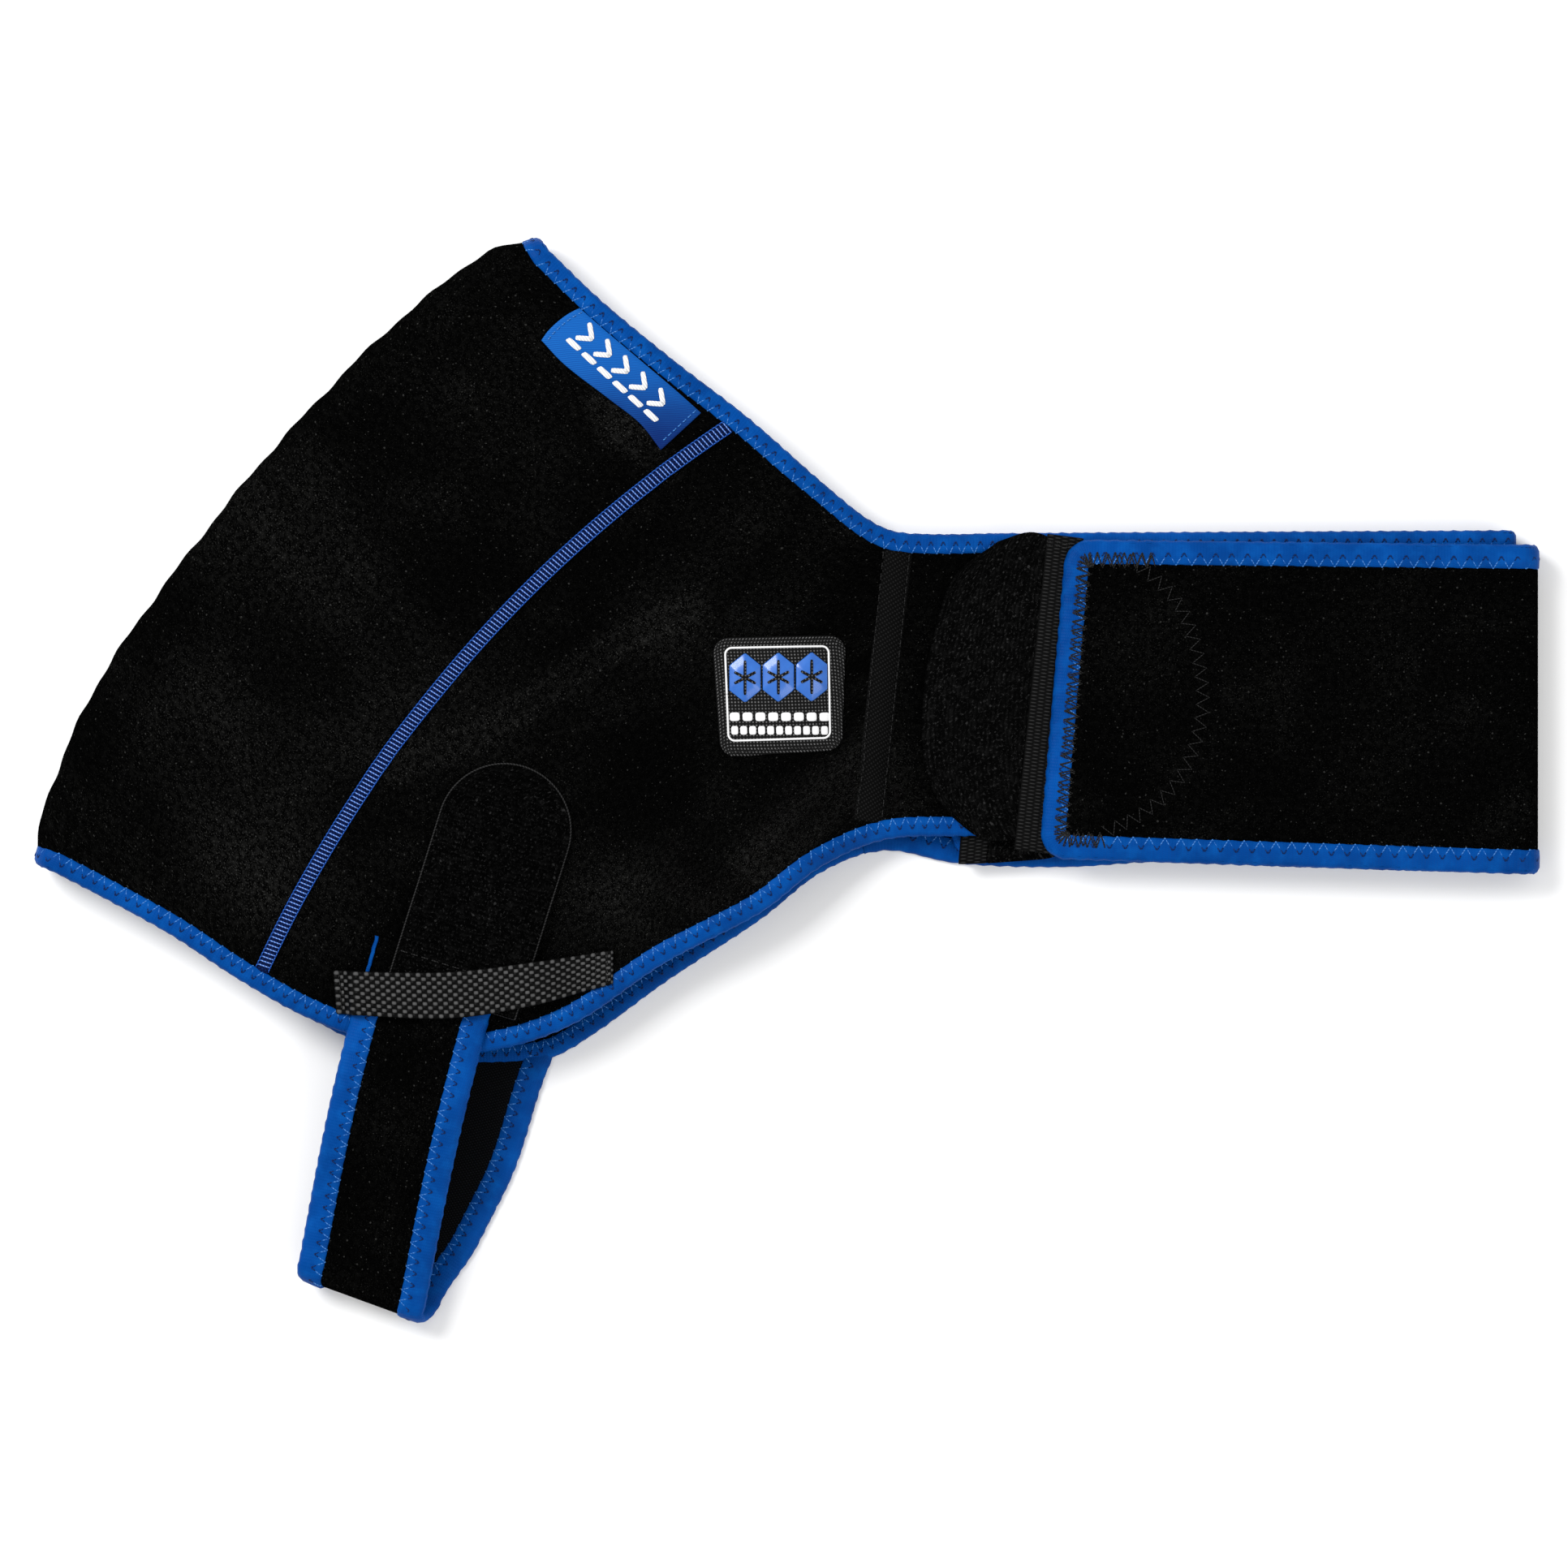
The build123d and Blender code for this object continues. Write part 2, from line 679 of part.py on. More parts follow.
# Webbing keeper: sewn flat at both ends, and bridging the arm strap between them
with BuildSketch() as keeper_plan:
    with BuildLine():
        upper = ThreePointArc(*keeper_upper)
        lower = ThreePointArc(*keeper_lower)
        Line(upper @ 1, lower @ 0)
        Line(lower @ 1, upper @ 0)
    make_face()
panel_top = front_low + neoprene
bridge_low = tab_top + clear
foot_left, bridge_left = keeper_left_ramp
bridge_right, foot_right = keeper_right_ramp
with BuildPart() as webbing_keeper:
    with BuildSketch(Plane.XZ.offset(-far)):
        with BuildLine():
            Polyline((-far, panel_top), (foot_left, panel_top), (bridge_left, bridge_low),
                     (bridge_right, bridge_low), (foot_right, panel_top), (far, panel_top),
                     (far, panel_top + keeper_skin), (foot_right + 1, panel_top + keeper_skin),
                     (bridge_right + 1, bridge_low + keeper_skin), (bridge_left - 1, bridge_low + keeper_skin),
                     (foot_left - 1, panel_top + keeper_skin), (-far, panel_top + keeper_skin), close=True)
        make_face()
    extrude(amount=2 * far)
    add(flat(keeper_plan.sketch, 0, tall), mode=Mode.INTERSECT)
    add(front_lower_binding.part, mode=Mode.SUBTRACT)

# Badge patch with its raised motif: a snowflake over two bars
badge_plan = rounded(badge_corners, [badge_corner] * len(badge_corners))
with BuildPart() as badge_patch:
    add(draped(badge_plan, neoprene, neoprene + badge_skin))

with BuildSketch() as motif:
    for turn in (0, 60, 120):
        with Locations(Location(flake_centre, turn)):
            SlotOverall(*flake_arm)
    with Locations(*bar_centres):
        Rectangle(*bar_size)
with BuildPart() as badge_motif:
    add(draped(motif.sketch, neoprene + badge_skin, neoprene + badge_skin + badge_relief))

# Woven label, with its upper edge caught under the neck binding
label_plan = without(rounded(label_corners, [0, label_corner, 0, 0]), front_neck_band)
with BuildPart() as woven_label:
    add(draped(label_plan, neoprene, neoprene + label_skin))
    add(front_seam_thread.part, mode=Mode.SUBTRACT)

pieces = {
    "rear_cap_panel": rear_cap_panel,
    "rear_body_panel": rear_body_panel,
    "rear_neck_binding": rear_neck_binding,
    "rear_lower_binding": rear_lower_binding,
    "rear_seam_thread": rear_seam_thread,
    "rear_joint_tape": rear_joint_tape,
    "rear_strap_lower_run": rear_strap_lower_run,
    "rear_strap_fold": rear_strap_fold,
    "strap_top_run": strap_top_run,
    "strap_top_binding": strap_top_binding,
    "chest_pad_sewn": chest_pad_sewn,
    "chest_pad_tape": chest_pad_tape,
    "chest_hook_pad": chest_hook_pad,
    "chest_hook_field": chest_hook_field,
    "cap_crease": cap_crease,
    "front_cap_panel": front_cap_panel,
    "front_body_panel": front_body_panel,
    "front_neck_binding": front_neck_binding,
    "front_lower_binding": front_lower_binding,
    "front_seam_thread": front_seam_thread,
    "front_joint_tape": front_joint_tape,
    "front_chest_strap": front_chest_strap,
    "front_hook_pad": front_hook_pad,
    "front_pad_tape": front_pad_tape,
    "rear_gel_pack": rear_gel_pack,
    "front_gel_pack": front_gel_pack,
    "rear_pocket_liner": rear_pocket_liner,
    "front_pocket_liner": front_pocket_liner,
    "arm_strap_rear_leg": arm_strap_rear_leg,
    "arm_strap_bend": arm_strap_bend,
    "arm_strap_front_leg": arm_strap_front_leg,
    "arm_rear_binding": arm_rear_binding,
    "arm_bend_binding": arm_bend_binding,
    "arm_front_binding": arm_front_binding,
    "arm_tab_sewn": arm_tab_sewn,
    "arm_tab_flap": arm_tab_flap,
    "arm_tab_hooks": arm_tab_hooks,
    "webbing_keeper": webbing_keeper,
    "badge_patch": badge_patch,
    "badge_motif": badge_motif,
    "woven_label": woven_label,
}
for name, piece in pieces.items():
    piece.part.label = name
    export_step(piece.part, f"parts/{name}.step")
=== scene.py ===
# The looks of a folded cold compression wrap: plush neoprene, elastic binding, stitches, webbing and pads.
# Shapes are worked out in millimetres, and makeMesh turns them into metres.
import json
import bpy
import numpy as np
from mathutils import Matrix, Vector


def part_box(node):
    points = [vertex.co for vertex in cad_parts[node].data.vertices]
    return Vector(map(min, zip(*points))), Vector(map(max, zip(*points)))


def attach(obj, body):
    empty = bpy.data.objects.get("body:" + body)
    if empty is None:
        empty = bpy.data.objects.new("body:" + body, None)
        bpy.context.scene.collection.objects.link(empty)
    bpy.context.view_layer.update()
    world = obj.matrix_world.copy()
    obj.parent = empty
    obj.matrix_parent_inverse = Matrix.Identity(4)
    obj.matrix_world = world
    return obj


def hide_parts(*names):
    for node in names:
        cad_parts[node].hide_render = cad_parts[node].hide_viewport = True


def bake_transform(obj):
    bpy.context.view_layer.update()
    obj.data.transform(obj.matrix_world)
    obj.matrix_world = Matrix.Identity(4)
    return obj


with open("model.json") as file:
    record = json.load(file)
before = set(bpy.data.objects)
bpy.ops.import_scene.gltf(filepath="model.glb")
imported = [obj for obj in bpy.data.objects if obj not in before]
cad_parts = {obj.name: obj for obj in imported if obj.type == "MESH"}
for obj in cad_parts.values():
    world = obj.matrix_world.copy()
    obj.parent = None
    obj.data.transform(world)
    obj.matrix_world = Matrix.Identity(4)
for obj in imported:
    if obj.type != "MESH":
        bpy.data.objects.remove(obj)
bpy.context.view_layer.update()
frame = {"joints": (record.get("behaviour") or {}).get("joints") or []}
mm = 0.001
print("frame loaded")


# Lines: arrays of points, worked on whole

def boxOf(node):
    # a node's lowest and highest corners, in millimetres
    low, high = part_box(node)
    return np.array(low) / mm, np.array(high) / mm


def unit(v):
    # a vector divided by its length
    return v / np.maximum(np.linalg.norm(v, axis=-1, keepdims=True), 1e-9)


def smoothStep(x, low, high):
    # 3t^2 - 2t^3 between two values
    t = np.clip((x - low) / (high - low), 0, 1)
    return t * t * (3 - 2 * t)


def hump(x, centre, width):
    # a bell, e to the minus square of the distance over the width
    return np.exp(-((x - centre) / width) ** 2)


def runOf(line):
    # distance run along a line at each of its points
    return np.concatenate([[0], np.cumsum(np.linalg.norm(np.diff(line, axis=0), axis=1))])


def along(line, at, values=None):
    # a line, or values kept at its points, read at given distances
    s, kept = runOf(line), line if values is None else values
    return np.stack([np.interp(at, s, kept[:, k]) for k in range(kept.shape[1])], axis=1)


def resample(line, count):
    # points evenly spaced along a line
    return along(line, np.linspace(0, runOf(line)[-1], count))


def smoothPath(points, count=400):
    # a Catmull-Rom curve through a few points, its knots spaced by the root of their distance
    p = np.array(points, float)
    p = np.vstack([2 * p[0] - p[1], p, 2 * p[-1] - p[-2]])
    knots = np.concatenate([[0], np.cumsum(np.linalg.norm(np.diff(p, axis=0), axis=1) ** 0.5)])
    t = np.linspace(knots[1], knots[-2], count)
    i = np.clip(np.searchsorted(knots, t, side="right") - 1, 1, len(p) - 3)
    k = [knots[i + j][:, None] for j in (-1, 0, 1, 2)]
    q = [p[i + j] for j in (-1, 0, 1, 2)]
    t = t[:, None]
    a = [((k[j + 1] - t) * q[j] + (t - k[j]) * q[j + 1]) / (k[j + 1] - k[j]) for j in range(3)]
    b = [((k[j + 2] - t) * a[j] + (t - k[j]) * a[j + 1]) / (k[j + 2] - k[j]) for j in range(2)]
    return ((k[2] - t) * b[0] + (t - k[1]) * b[1]) / (k[2] - k[1])


def roundedPath(points, radii, count=12):
    # straight runs whose corners are circular arcs
    p = np.array(points, float)
    out = [p[:1]]
    turn = np.linspace(0, 1, count)[:, None]
    for before, corner, after, radius in zip(p[:-2], p[1:-1], p[2:], radii):
        a, b = unit(before - corner), unit(after - corner)
        half = np.arccos(np.clip(a @ b, -1, 1)) / 2
        centre = corner + unit(a + b) * radius / np.sin(half)
        chord = corner + (a * (1 - turn) + b * turn) * radius / np.tan(half) - centre
        out.append(centre + unit(chord) * radius)
    out.append(p[-1:])
    return np.vstack(out)


def outlineOf(points, radii):
    # a closed outline with rounded corners, starting half way along its last side
    p = np.array(points, float)
    start = (p[0] + p[-1]) / 2
    return resample(roundedPath(np.vstack([start, p, start]), radii), 400)


def distanceTo(x, y, line):
    # the shortest distance from points to a line's straight pieces
    best = np.full(np.shape(x), 1e9)
    for a, b in zip(np.array(line, float)[:-1], np.array(line, float)[1:]):
        d = b - a
        t = np.clip(((x - a[0]) * d[0] + (y - a[1]) * d[1]) / max(d @ d, 1e-9), 0, 1)
        best = np.minimum(best, np.hypot(x - a[0] - t * d[0], y - a[1] - t * d[1]))
    return best


def cutWhere(line, level):
    # a line cut in two where a value along it first changes sign
    k = int(np.argmax(level[:-1] * level[1:] <= 0))
    t = level[k] / (level[k] - level[k + 1])
    p = line[k] + (line[k + 1] - line[k]) * t
    return np.vstack([line[:k + 1], p]), np.vstack([p, line[k + 1:]])


# Surfaces: grids of points

def coons(top, bottom, left, right):
    # the bilinear blend of four edges: top and bottom run along j, left and right along i
    v = np.linspace(0, 1, len(left))[:, None, None]
    u = np.linspace(0, 1, len(top))[None, :, None]
    ruled = (1 - v) * top[None] + v * bottom[None] + (1 - u) * left[:, None] + u * right[:, None]
    corners = (1 - v) * ((1 - u) * top[0] + u * top[-1]) + v * ((1 - u) * bottom[0] + u * bottom[-1])
    return ruled - corners


def patchOf(outline, corners, rows, columns):
    # a grid inside a closed outline, whose four sides run between the outline's points nearest to four
    # corners
    at = [int(np.argmin(np.linalg.norm(outline - c, axis=1))) for c in corners]
    sides = []
    for start, end in zip(at, at[1:] + at[:1]):
        sides.append(outline[start:end + 1] if end > start else np.vstack([outline[start:],
                                                                           outline[:end + 1]]))
    top, right, bottom, left = sides
    return coons(resample(top, columns), resample(bottom[::-1], columns), resample(left[::-1], rows),
                 resample(right, rows))


def gridNormals(grid):
    # the cross product of the grid's two tangents
    return unit(np.cross(np.gradient(grid, axis=0), np.gradient(grid, axis=1)))


def gridUv(grid):
    # distances along the two ways of a grid
    u = np.cumsum(np.linalg.norm(np.diff(grid, axis=1, prepend=grid[:, :1]), axis=2), axis=1)
    v = np.cumsum(np.linalg.norm(np.diff(grid, axis=0, prepend=grid[:1]), axis=2), axis=0)
    return np.stack([u, v], axis=-1)


def gridFaces(rows, columns, closed=False):
    # the four-cornered faces of a grid, closed round its columns where asked
    i = np.arange(rows - 1)[:, None]
    j = np.arange(columns if closed else columns - 1)[None]
    k = (j + 1) % columns
    corners = [i * columns + j, (i + 1) * columns + j, (i + 1) * columns + k, i * columns + k]
    return np.stack(corners, axis=-1).reshape(-1, 4)


def volumeOf(points, faces):
    # six times the volume inside closed faces
    p, total = points - points.mean(0), 0.0
    for f in faces:
        for k in range(1, f.shape[1] - 1):
            total += np.sum(p[f[:, 0]] * np.cross(p[f[:, k]], p[f[:, k + 1]]))
    return total


def makeMesh(name, parts, material, napAndSheen=None):
    # one object from closed parts, each a set of points, a list of face arrays and a place on the cloth
    points, polygons, uvs, base = [], [], [], 0
    for p, faces, uv in parts:
        if volumeOf(p, faces) < 0:
            faces = [f[:, ::-1] for f in faces]
        for f in faces:
            polygons.extend((f + base).tolist())
        points.append(p)
        uvs.append(uv)
        base += len(p)
    points, uvs = np.vstack(points), np.vstack(uvs)
    mesh = bpy.data.meshes.new(name)
    mesh.from_pydata((points * mm).tolist(), [], polygons)
    vertexOf = np.zeros(len(mesh.loops), np.int32)
    mesh.loops.foreach_get("vertex_index", vertexOf)
    cloth = mesh.uv_layers.new(name="cloth")
    cloth.data.foreach_set("uv", (uvs * mm)[vertexOf].astype(np.float32).ravel())
    mesh.polygons.foreach_set("use_smooth", np.ones(len(mesh.polygons), bool))
    # painted sheen: the brushing and highlight mask, kept on each point
    if napAndSheen is not None:
        brushedAndSheen = mesh.attributes.new("napAndSheen", "FLOAT", "POINT")
        brushedAndSheen.data.foreach_set("value", napAndSheen(points).astype(np.float32))
    mesh.materials.append(material)
    piece = bpy.data.objects.new(name, mesh)
    bpy.context.scene.collection.objects.link(piece)
    return piece


def slab(middle, thickness, normal=None, place=None):
    # cloth of a thickness about its middle surface, with a rounded rim; place is where each point lies on
    # the cloth
    normal = gridNormals(middle) if normal is None else normal
    rows, columns = middle.shape[:2]
    half = np.broadcast_to(np.asarray(thickness, float) / 2, (rows, columns))[..., None]
    top, under = (middle + normal * half).reshape(-1, 3), (middle - normal * half).reshape(-1, 3)
    centre, uv = middle.reshape(-1, 3), (gridUv(middle) if place is None else place).reshape(-1, 2)
    ring = np.concatenate([np.arange(columns), np.arange(1, rows) * columns + columns - 1,
                           (rows - 1) * columns + np.arange(columns - 2, -1, -1),
                           np.arange(rows - 2, 0, -1) * columns])
    run = np.roll(centre[ring], -1, axis=0) - np.roll(centre[ring], 1, axis=0)
    rim = centre[ring] + unit(np.cross(normal.reshape(-1, 3)[ring], run)) * half.reshape(-1, 1)[ring] * 0.4
    size = rows * columns
    r = 2 * size + np.arange(len(ring))
    a, b, s = ring, np.roll(ring, -1), np.roll(r, -1)
    faces = [gridFaces(rows, columns), gridFaces(rows, columns)[:, ::-1] + size,
             np.stack([a, b, s, r], axis=1), np.stack([r, s, b + size, a + size], axis=1)]
    return np.vstack([top, under, rim]), faces, np.vstack([uv, uv, uv[ring]])


def sweep(line, inward, normal, section):
    # a closed section carried along a line: its first number goes inward, its second along the normal
    section = np.broadcast_to(section, (len(line),) + np.shape(section)[-2:])
    grid = line[:, None] + inward[:, None] * section[..., :1] + normal[:, None] * section[..., 1:]
    rows, columns = grid.shape[:2]
    girth = np.concatenate([[0], np.cumsum(np.linalg.norm(np.diff(section[0], axis=0), axis=1))])
    uv = np.stack(np.broadcast_arrays(runOf(line)[:, None], girth[None]), axis=-1).reshape(-1, 2)
    points = np.vstack([grid.reshape(-1, 3), grid[0].mean(0), grid[-1].mean(0)])
    j, size = np.arange(columns), rows * columns
    k = (j + 1) % columns
    start = np.stack([np.full(columns, size), j, k], axis=1)
    end = np.stack([np.full(columns, size + 1), size - columns + k, size - columns + j], axis=1)
    return points, [gridFaces(rows, columns, True), start, end], np.vstack([uv, uv[0], uv[-1]])


def tube(line, radius, sides=6):
    # a round section along a line, held level
    tangent = unit(np.gradient(line, axis=0))
    side = unit(np.cross(tangent, np.array([0, 0, 1.0])))
    turn = np.arange(sides) * 2 * np.pi / sides
    return sweep(line, side, np.cross(side, tangent), np.stack([np.cos(turn), np.sin(turn)], axis=1)
                 * radius)


def stitches(start, end, up, rise=0.35, radius=0.28):
    # separate stitches between two rows of points: each a five-sided tube that arches up and dives in at
    # its ends
    along_ = np.array([0, 0.16, 0.5, 0.84, 1.0])[None, :, None]
    lift = np.array([-0.5, 0.7, 1.0, 0.7, -0.5])[None, :, None] * rise
    centre = start[:, None] * (1 - along_) + end[:, None] * along_ + up[:, None] * lift
    tangent = unit(end - start)
    side = unit(np.cross(tangent, up))
    over = np.cross(side, tangent)
    turn = np.arange(5) * 2 * np.pi / 5
    ring = (side[:, None, None] * np.cos(turn)[:, None] + over[:, None, None]
            * np.sin(turn)[:, None]) * radius
    points = (centre[:, :, None] + ring).reshape(-1, 3)
    first = np.arange(len(start))[:, None, None] * 25
    sides = (gridFaces(5, 5, True)[None] + first).reshape(-1, 4)
    caps = np.array([[0, 1, 2, 3, 4], [24, 23, 22, 21, 20]])
    length = np.linalg.norm(end - start, axis=1)[:, None, None] * along_[..., 0][..., None]
    uv = np.stack(np.broadcast_arrays(length, turn[None, None] * radius), axis=-1).reshape(-1, 2)
    return points, [sides, (caps[None] + first).reshape(-1, 5)], uv


# An edge with its frames, for bindings and stitches

def edgeOf(grid, normals, rowsAt, columnsAt, step=1.6):
    # points, inward and outward directions along a path of grid points, evenly spaced
    line, normal = grid[rowsAt, columnsAt], normals[rowsAt, columnsAt]
    keep = np.concatenate([[True], np.linalg.norm(np.diff(line, axis=0), axis=1) > 1e-4])
    line, normal = line[keep], normal[keep]
    s = np.linspace(0, runOf(line)[-1], int(runOf(line)[-1] / step) + 1)
    at, up = along(line, s), unit(along(line, s, normal))
    inward = unit(np.cross(np.gradient(at, axis=0), up))
    return {"line": at, "inward": inward, "normal": up}


def offEdge(edge, distance, inward, rise):
    # points at distances along an edge, moved inward and up
    line = along(edge["line"], distance)
    side = unit(along(edge["line"], distance, edge["inward"]))
    up = unit(along(edge["line"], distance, edge["normal"]))
    return line + side * inward[:, None] + up * rise[:, None], up


bandAcross = np.array([1.0, 0.95, 0.6, 0.14, -0.06, -0.15, -0.06, 0.14, 0.95, 1.0])  # shares of its width
bandHigh = np.array([0.72, 0.98, 1.04, 1.0, 0.6, 0.0, -0.6, -1.0, -1.0,
                     -0.72])  # shares of its half thickness
bandPucker = np.array([0.6, 0.6, 0.3, 0.2, 0.8, 1.0, 0.8, 0.2, 0.6, 0.6])


def bindingPart(edge, width, pitch):
    # a folded band over an edge: flat on both faces, round outside, puckered a little at each stitch;
    # its width may be one number, or one for each point
    s = runOf(edge["line"])
    width = np.broadcast_to(np.reshape(width, (-1, 1)), (len(s), 1))
    offFloor = smoothStep(edge["line"][:, 2], 1.9, 5)
    pucker = 0.16 * np.sin(s * 2 * np.pi / pitch) + 0.08 * np.sin(s * 0.9)
    across = bandAcross * width + pucker[:, None] * bandPucker
    outer = np.minimum(1.6 + 0.5 * offFloor, np.maximum(edge["line"][:, 2] - 0.03, 0.5))
    high = np.where(bandHigh > 0, bandHigh * outer[:, None], bandHigh * 2.1)
    high = high + (pucker * offFloor)[:, None] * np.where(bandHigh > 0, 0.5, 0)
    return sweep(edge["line"], edge["inward"], edge["normal"], np.stack([across, high], axis=-1))


def zigzagParts(edge, pitch, near, far, proud=0.5, share=(0, 1), radius=0.26):
    # zigzag stitches over a binding's inner border, on whichever face looks up; share is the stretch of
    # each kept
    parts, length = [], runOf(edge["line"])[-1]
    corner = np.arange(0, length, pitch / 2)
    inward = np.where(np.arange(len(corner)) % 2 == 0, near, far)
    for side in (1, -1):
        points, up = offEdge(edge, corner, inward, side * (1.55 + proud * (inward < (near + far) / 2)))
        shown = up[:-1, 2] > -0.3 if side > 0 else up[:-1, 2] < -0.8
        outward = (np.arange(len(corner) - 1) % 2 == 0)[:, None]
        first, second = np.where(outward, share[0], 1 - share[0]), np.where(outward, share[1], 1 - share[1])
        run = points[1:] - points[:-1]
        if shown.any():
            parts.append(stitches((points[:-1] + run * first)[shown], (points[:-1] + run * second)[shown],
                                  side * up[:-1][shown], 0.3, radius))
    return parts


# Materials: arithmetic on shader values

class Value:
    # a shader socket whose arithmetic adds Math nodes
    def __init__(self, tree, socket):
        self.tree, self.socket = tree, socket

    def math(self, kind, *values):
        made = self.tree.nodes.new("ShaderNodeMath")
        made.operation = kind
        for slot, value in zip(made.inputs, values):
            if isinstance(value, Value):
                self.tree.links.new(value.socket, slot)
            else:
                slot.default_value = value
        return Value(self.tree, made.outputs[0])

    def __add__(self, other):
        return self.math("ADD", self, other)

    def __radd__(self, other):
        return self.math("ADD", other, self)

    def __sub__(self, other):
        return self.math("SUBTRACT", self, other)

    def __rsub__(self, other):
        return self.math("SUBTRACT", other, self)

    def __mul__(self, other):
        return self.math("MULTIPLY", self, other)

    def __rmul__(self, other):
        return self.math("MULTIPLY", other, self)

    def __gt__(self, other):
        return self.math("GREATER_THAN", self, other)

    def power(self, other):
        return self.math("POWER", self, other)

    def sine(self):
        return self.math("SINE", self)

    def size(self):
        return self.math("ABSOLUTE", self)


class Finish:
    # a material being built: constants go straight onto the shader
    def __init__(self, name, constants):
        self.material = bpy.data.materials.new(name)
        self.material.use_nodes = True
        self.tree = self.material.node_tree
        self.shader = self.tree.nodes["Principled BSDF"]
        for slot, value in constants.items():
            self.shader.inputs[slot].default_value = value
        self.material.diffuse_color = (*constants.get("Base Color", (0.02, 0.02, 0.02, 1))[:3], 1)

    def node(self, kind, settings=None, sockets=None, output=0):
        made = self.tree.nodes.new("ShaderNode" + kind)
        for key, value in (settings or {}).items():
            setattr(made, key, value)
        for key, value in (sockets or {}).items():
            if isinstance(value, Value):
                self.tree.links.new(value.socket, made.inputs[key])
            else:
                made.inputs[key].default_value = value
        return Value(self.tree, made.outputs[output])

    def clothPlace(self):
        return self.node("UVMap", {"uv_map": "cloth"})

    def noise(self, place, scale, detail=2.0, roughness=0.55):
        return self.node("TexNoise", {}, {"Vector": place, "Scale": scale, "Detail": detail,
                                          "Roughness": roughness})

    def axes(self, place):
        # the two distances of a place, as values
        return self.node("SeparateXYZ", {}, {0: place}, 0), self.node("SeparateXYZ", {}, {0: place}, 1)

    def ramp(self, value, low, high):
        # a value brought to 0..1 between two values
        return self.node("MapRange", {"interpolation_type": "SMOOTHSTEP"},
                         {"Value": value, "From Min": low, "From Max": high})

    def mixed(self, share, first, second):
        return self.node("Mix", {"data_type": "RGBA"}, {0: share, 6: first, 7: second}, 2)

    def feed(self, slot, value):
        self.tree.links.new(value.socket, self.shader.inputs[slot])

    def bump(self, height, distance, strength=1.0):
        self.feed("Normal", self.node("Bump", {},
                                      {"Strength": strength, "Distance": distance, "Height": height}))


def grey(level, blue=1.0):
    return (level, level, level * blue, 1)


def plushFinish(name, dark, lintAndSheen, tuft=1500, ribs=0.0, brushedAndSheen=True):
    # napped cloth: fine tufts over slow mottling, lighter where the mesh attribute asks: patches of
    # brushing whose lightness is painted sheen, and painted highlights on the crease and ridge flanks; a
    # constant stands in where there is no attribute
    f = Finish(name, {"Roughness": 0.95, "Specular IOR Level": 0.0})
    place = f.clothPlace()
    tufts = f.ramp(f.noise(place, tuft, 2, 0.8), 0.52, 0.68)
    clumps = f.ramp(f.noise(place, tuft * 0.28, 2), 0.40, 0.75)
    slow = f.ramp(f.noise(place, 26, 3), 0.42, 0.75)
    napAndSheen = f.node("Attribute", {"attribute_name": "napAndSheen"}, {}, 2) if brushedAndSheen else 0.22
    # painted sheen and highlight: the attribute lightens the tufts in the brushing patches and on the
    # crease and ridge flanks
    pileAndSheen = (tufts * 0.85 + clumps * 0.15) * (0.10 + 0.25 * slow + 0.9 * napAndSheen)
    specks = f.ramp(f.noise(place, tuft * 0.6, 0), 0.76, 0.82) * 0.4
    height = tufts + 0.8 * clumps
    if ribs:
        u, v = f.axes(place)
        rib = (u * (np.pi / ribs) + clumps * 1.5).sine().size()
        height = height + rib * 0.9
        # painted highlight: the ribs are lighter on their crests
        pileAndSheen = pileAndSheen * (0.35 + rib)
    f.feed("Base Color", f.mixed((pileAndSheen + specks).math("MINIMUM", pileAndSheen + specks, 1.0), dark, lintAndSheen))
    f.bump(height, 0.0004, 1.0)
    return f.material


def lycraFinish():
    # elastic binding: fine ribs across the band, a soft shine, rougher in slow patches of wear that are
    # also mixed toward a lighter blue as painted sheen, and lighter on the rib crests as a painted
    # highlight
    f = Finish("blueBinding", {"Roughness": 0.5, "Specular IOR Level": 0.03})
    place = f.clothPlace()
    u, v = f.axes(place)
    weave = (u * 5200.0).sine() * 0.5 + (v * 7400.0 + (u * 2600.0).sine()).sine() * 0.35
    wearAndSheen = f.ramp(f.noise(place, 140, 4), 0.4, 0.75)
    shade = f.ramp(f.noise(place, 38, 2), 0.3, 0.7)
    base = f.mixed(shade, (0.0001, 0.036, 0.190, 1), (0.0004, 0.052, 0.260, 1))
    # painted highlight and sheen: the lighter blue is mixed in on the rib crests and in the wear patches
    f.feed("Base Color", f.mixed(wearAndSheen * 0.35 + weave.size() * 0.12, base, (0.002, 0.105, 0.42, 1)))
    f.feed("Roughness", 0.42 + 0.2 * wearAndSheen)
    f.bump(weave * 0.5 + shade * 2.0, 0.00012, 0.8)
    return f.material


def threadFinish(name, dark, light, roughness=0.45):
    # plied thread: a twist that winds round the stitch, its lighter colour on the twist's raised crests as
    # a painted highlight
    f = Finish(name, {"Roughness": roughness, "Specular IOR Level": 0.1})
    u, v = f.axes(f.clothPlace())
    ply = (u * 5200.0 + v * 3600.0).sine() * 0.5 + 0.5
    # painted highlight on the twist's crests
    f.feed("Base Color", f.mixed(ply, dark, light))
    f.bump(ply, 0.0001, 0.7)
    return f.material


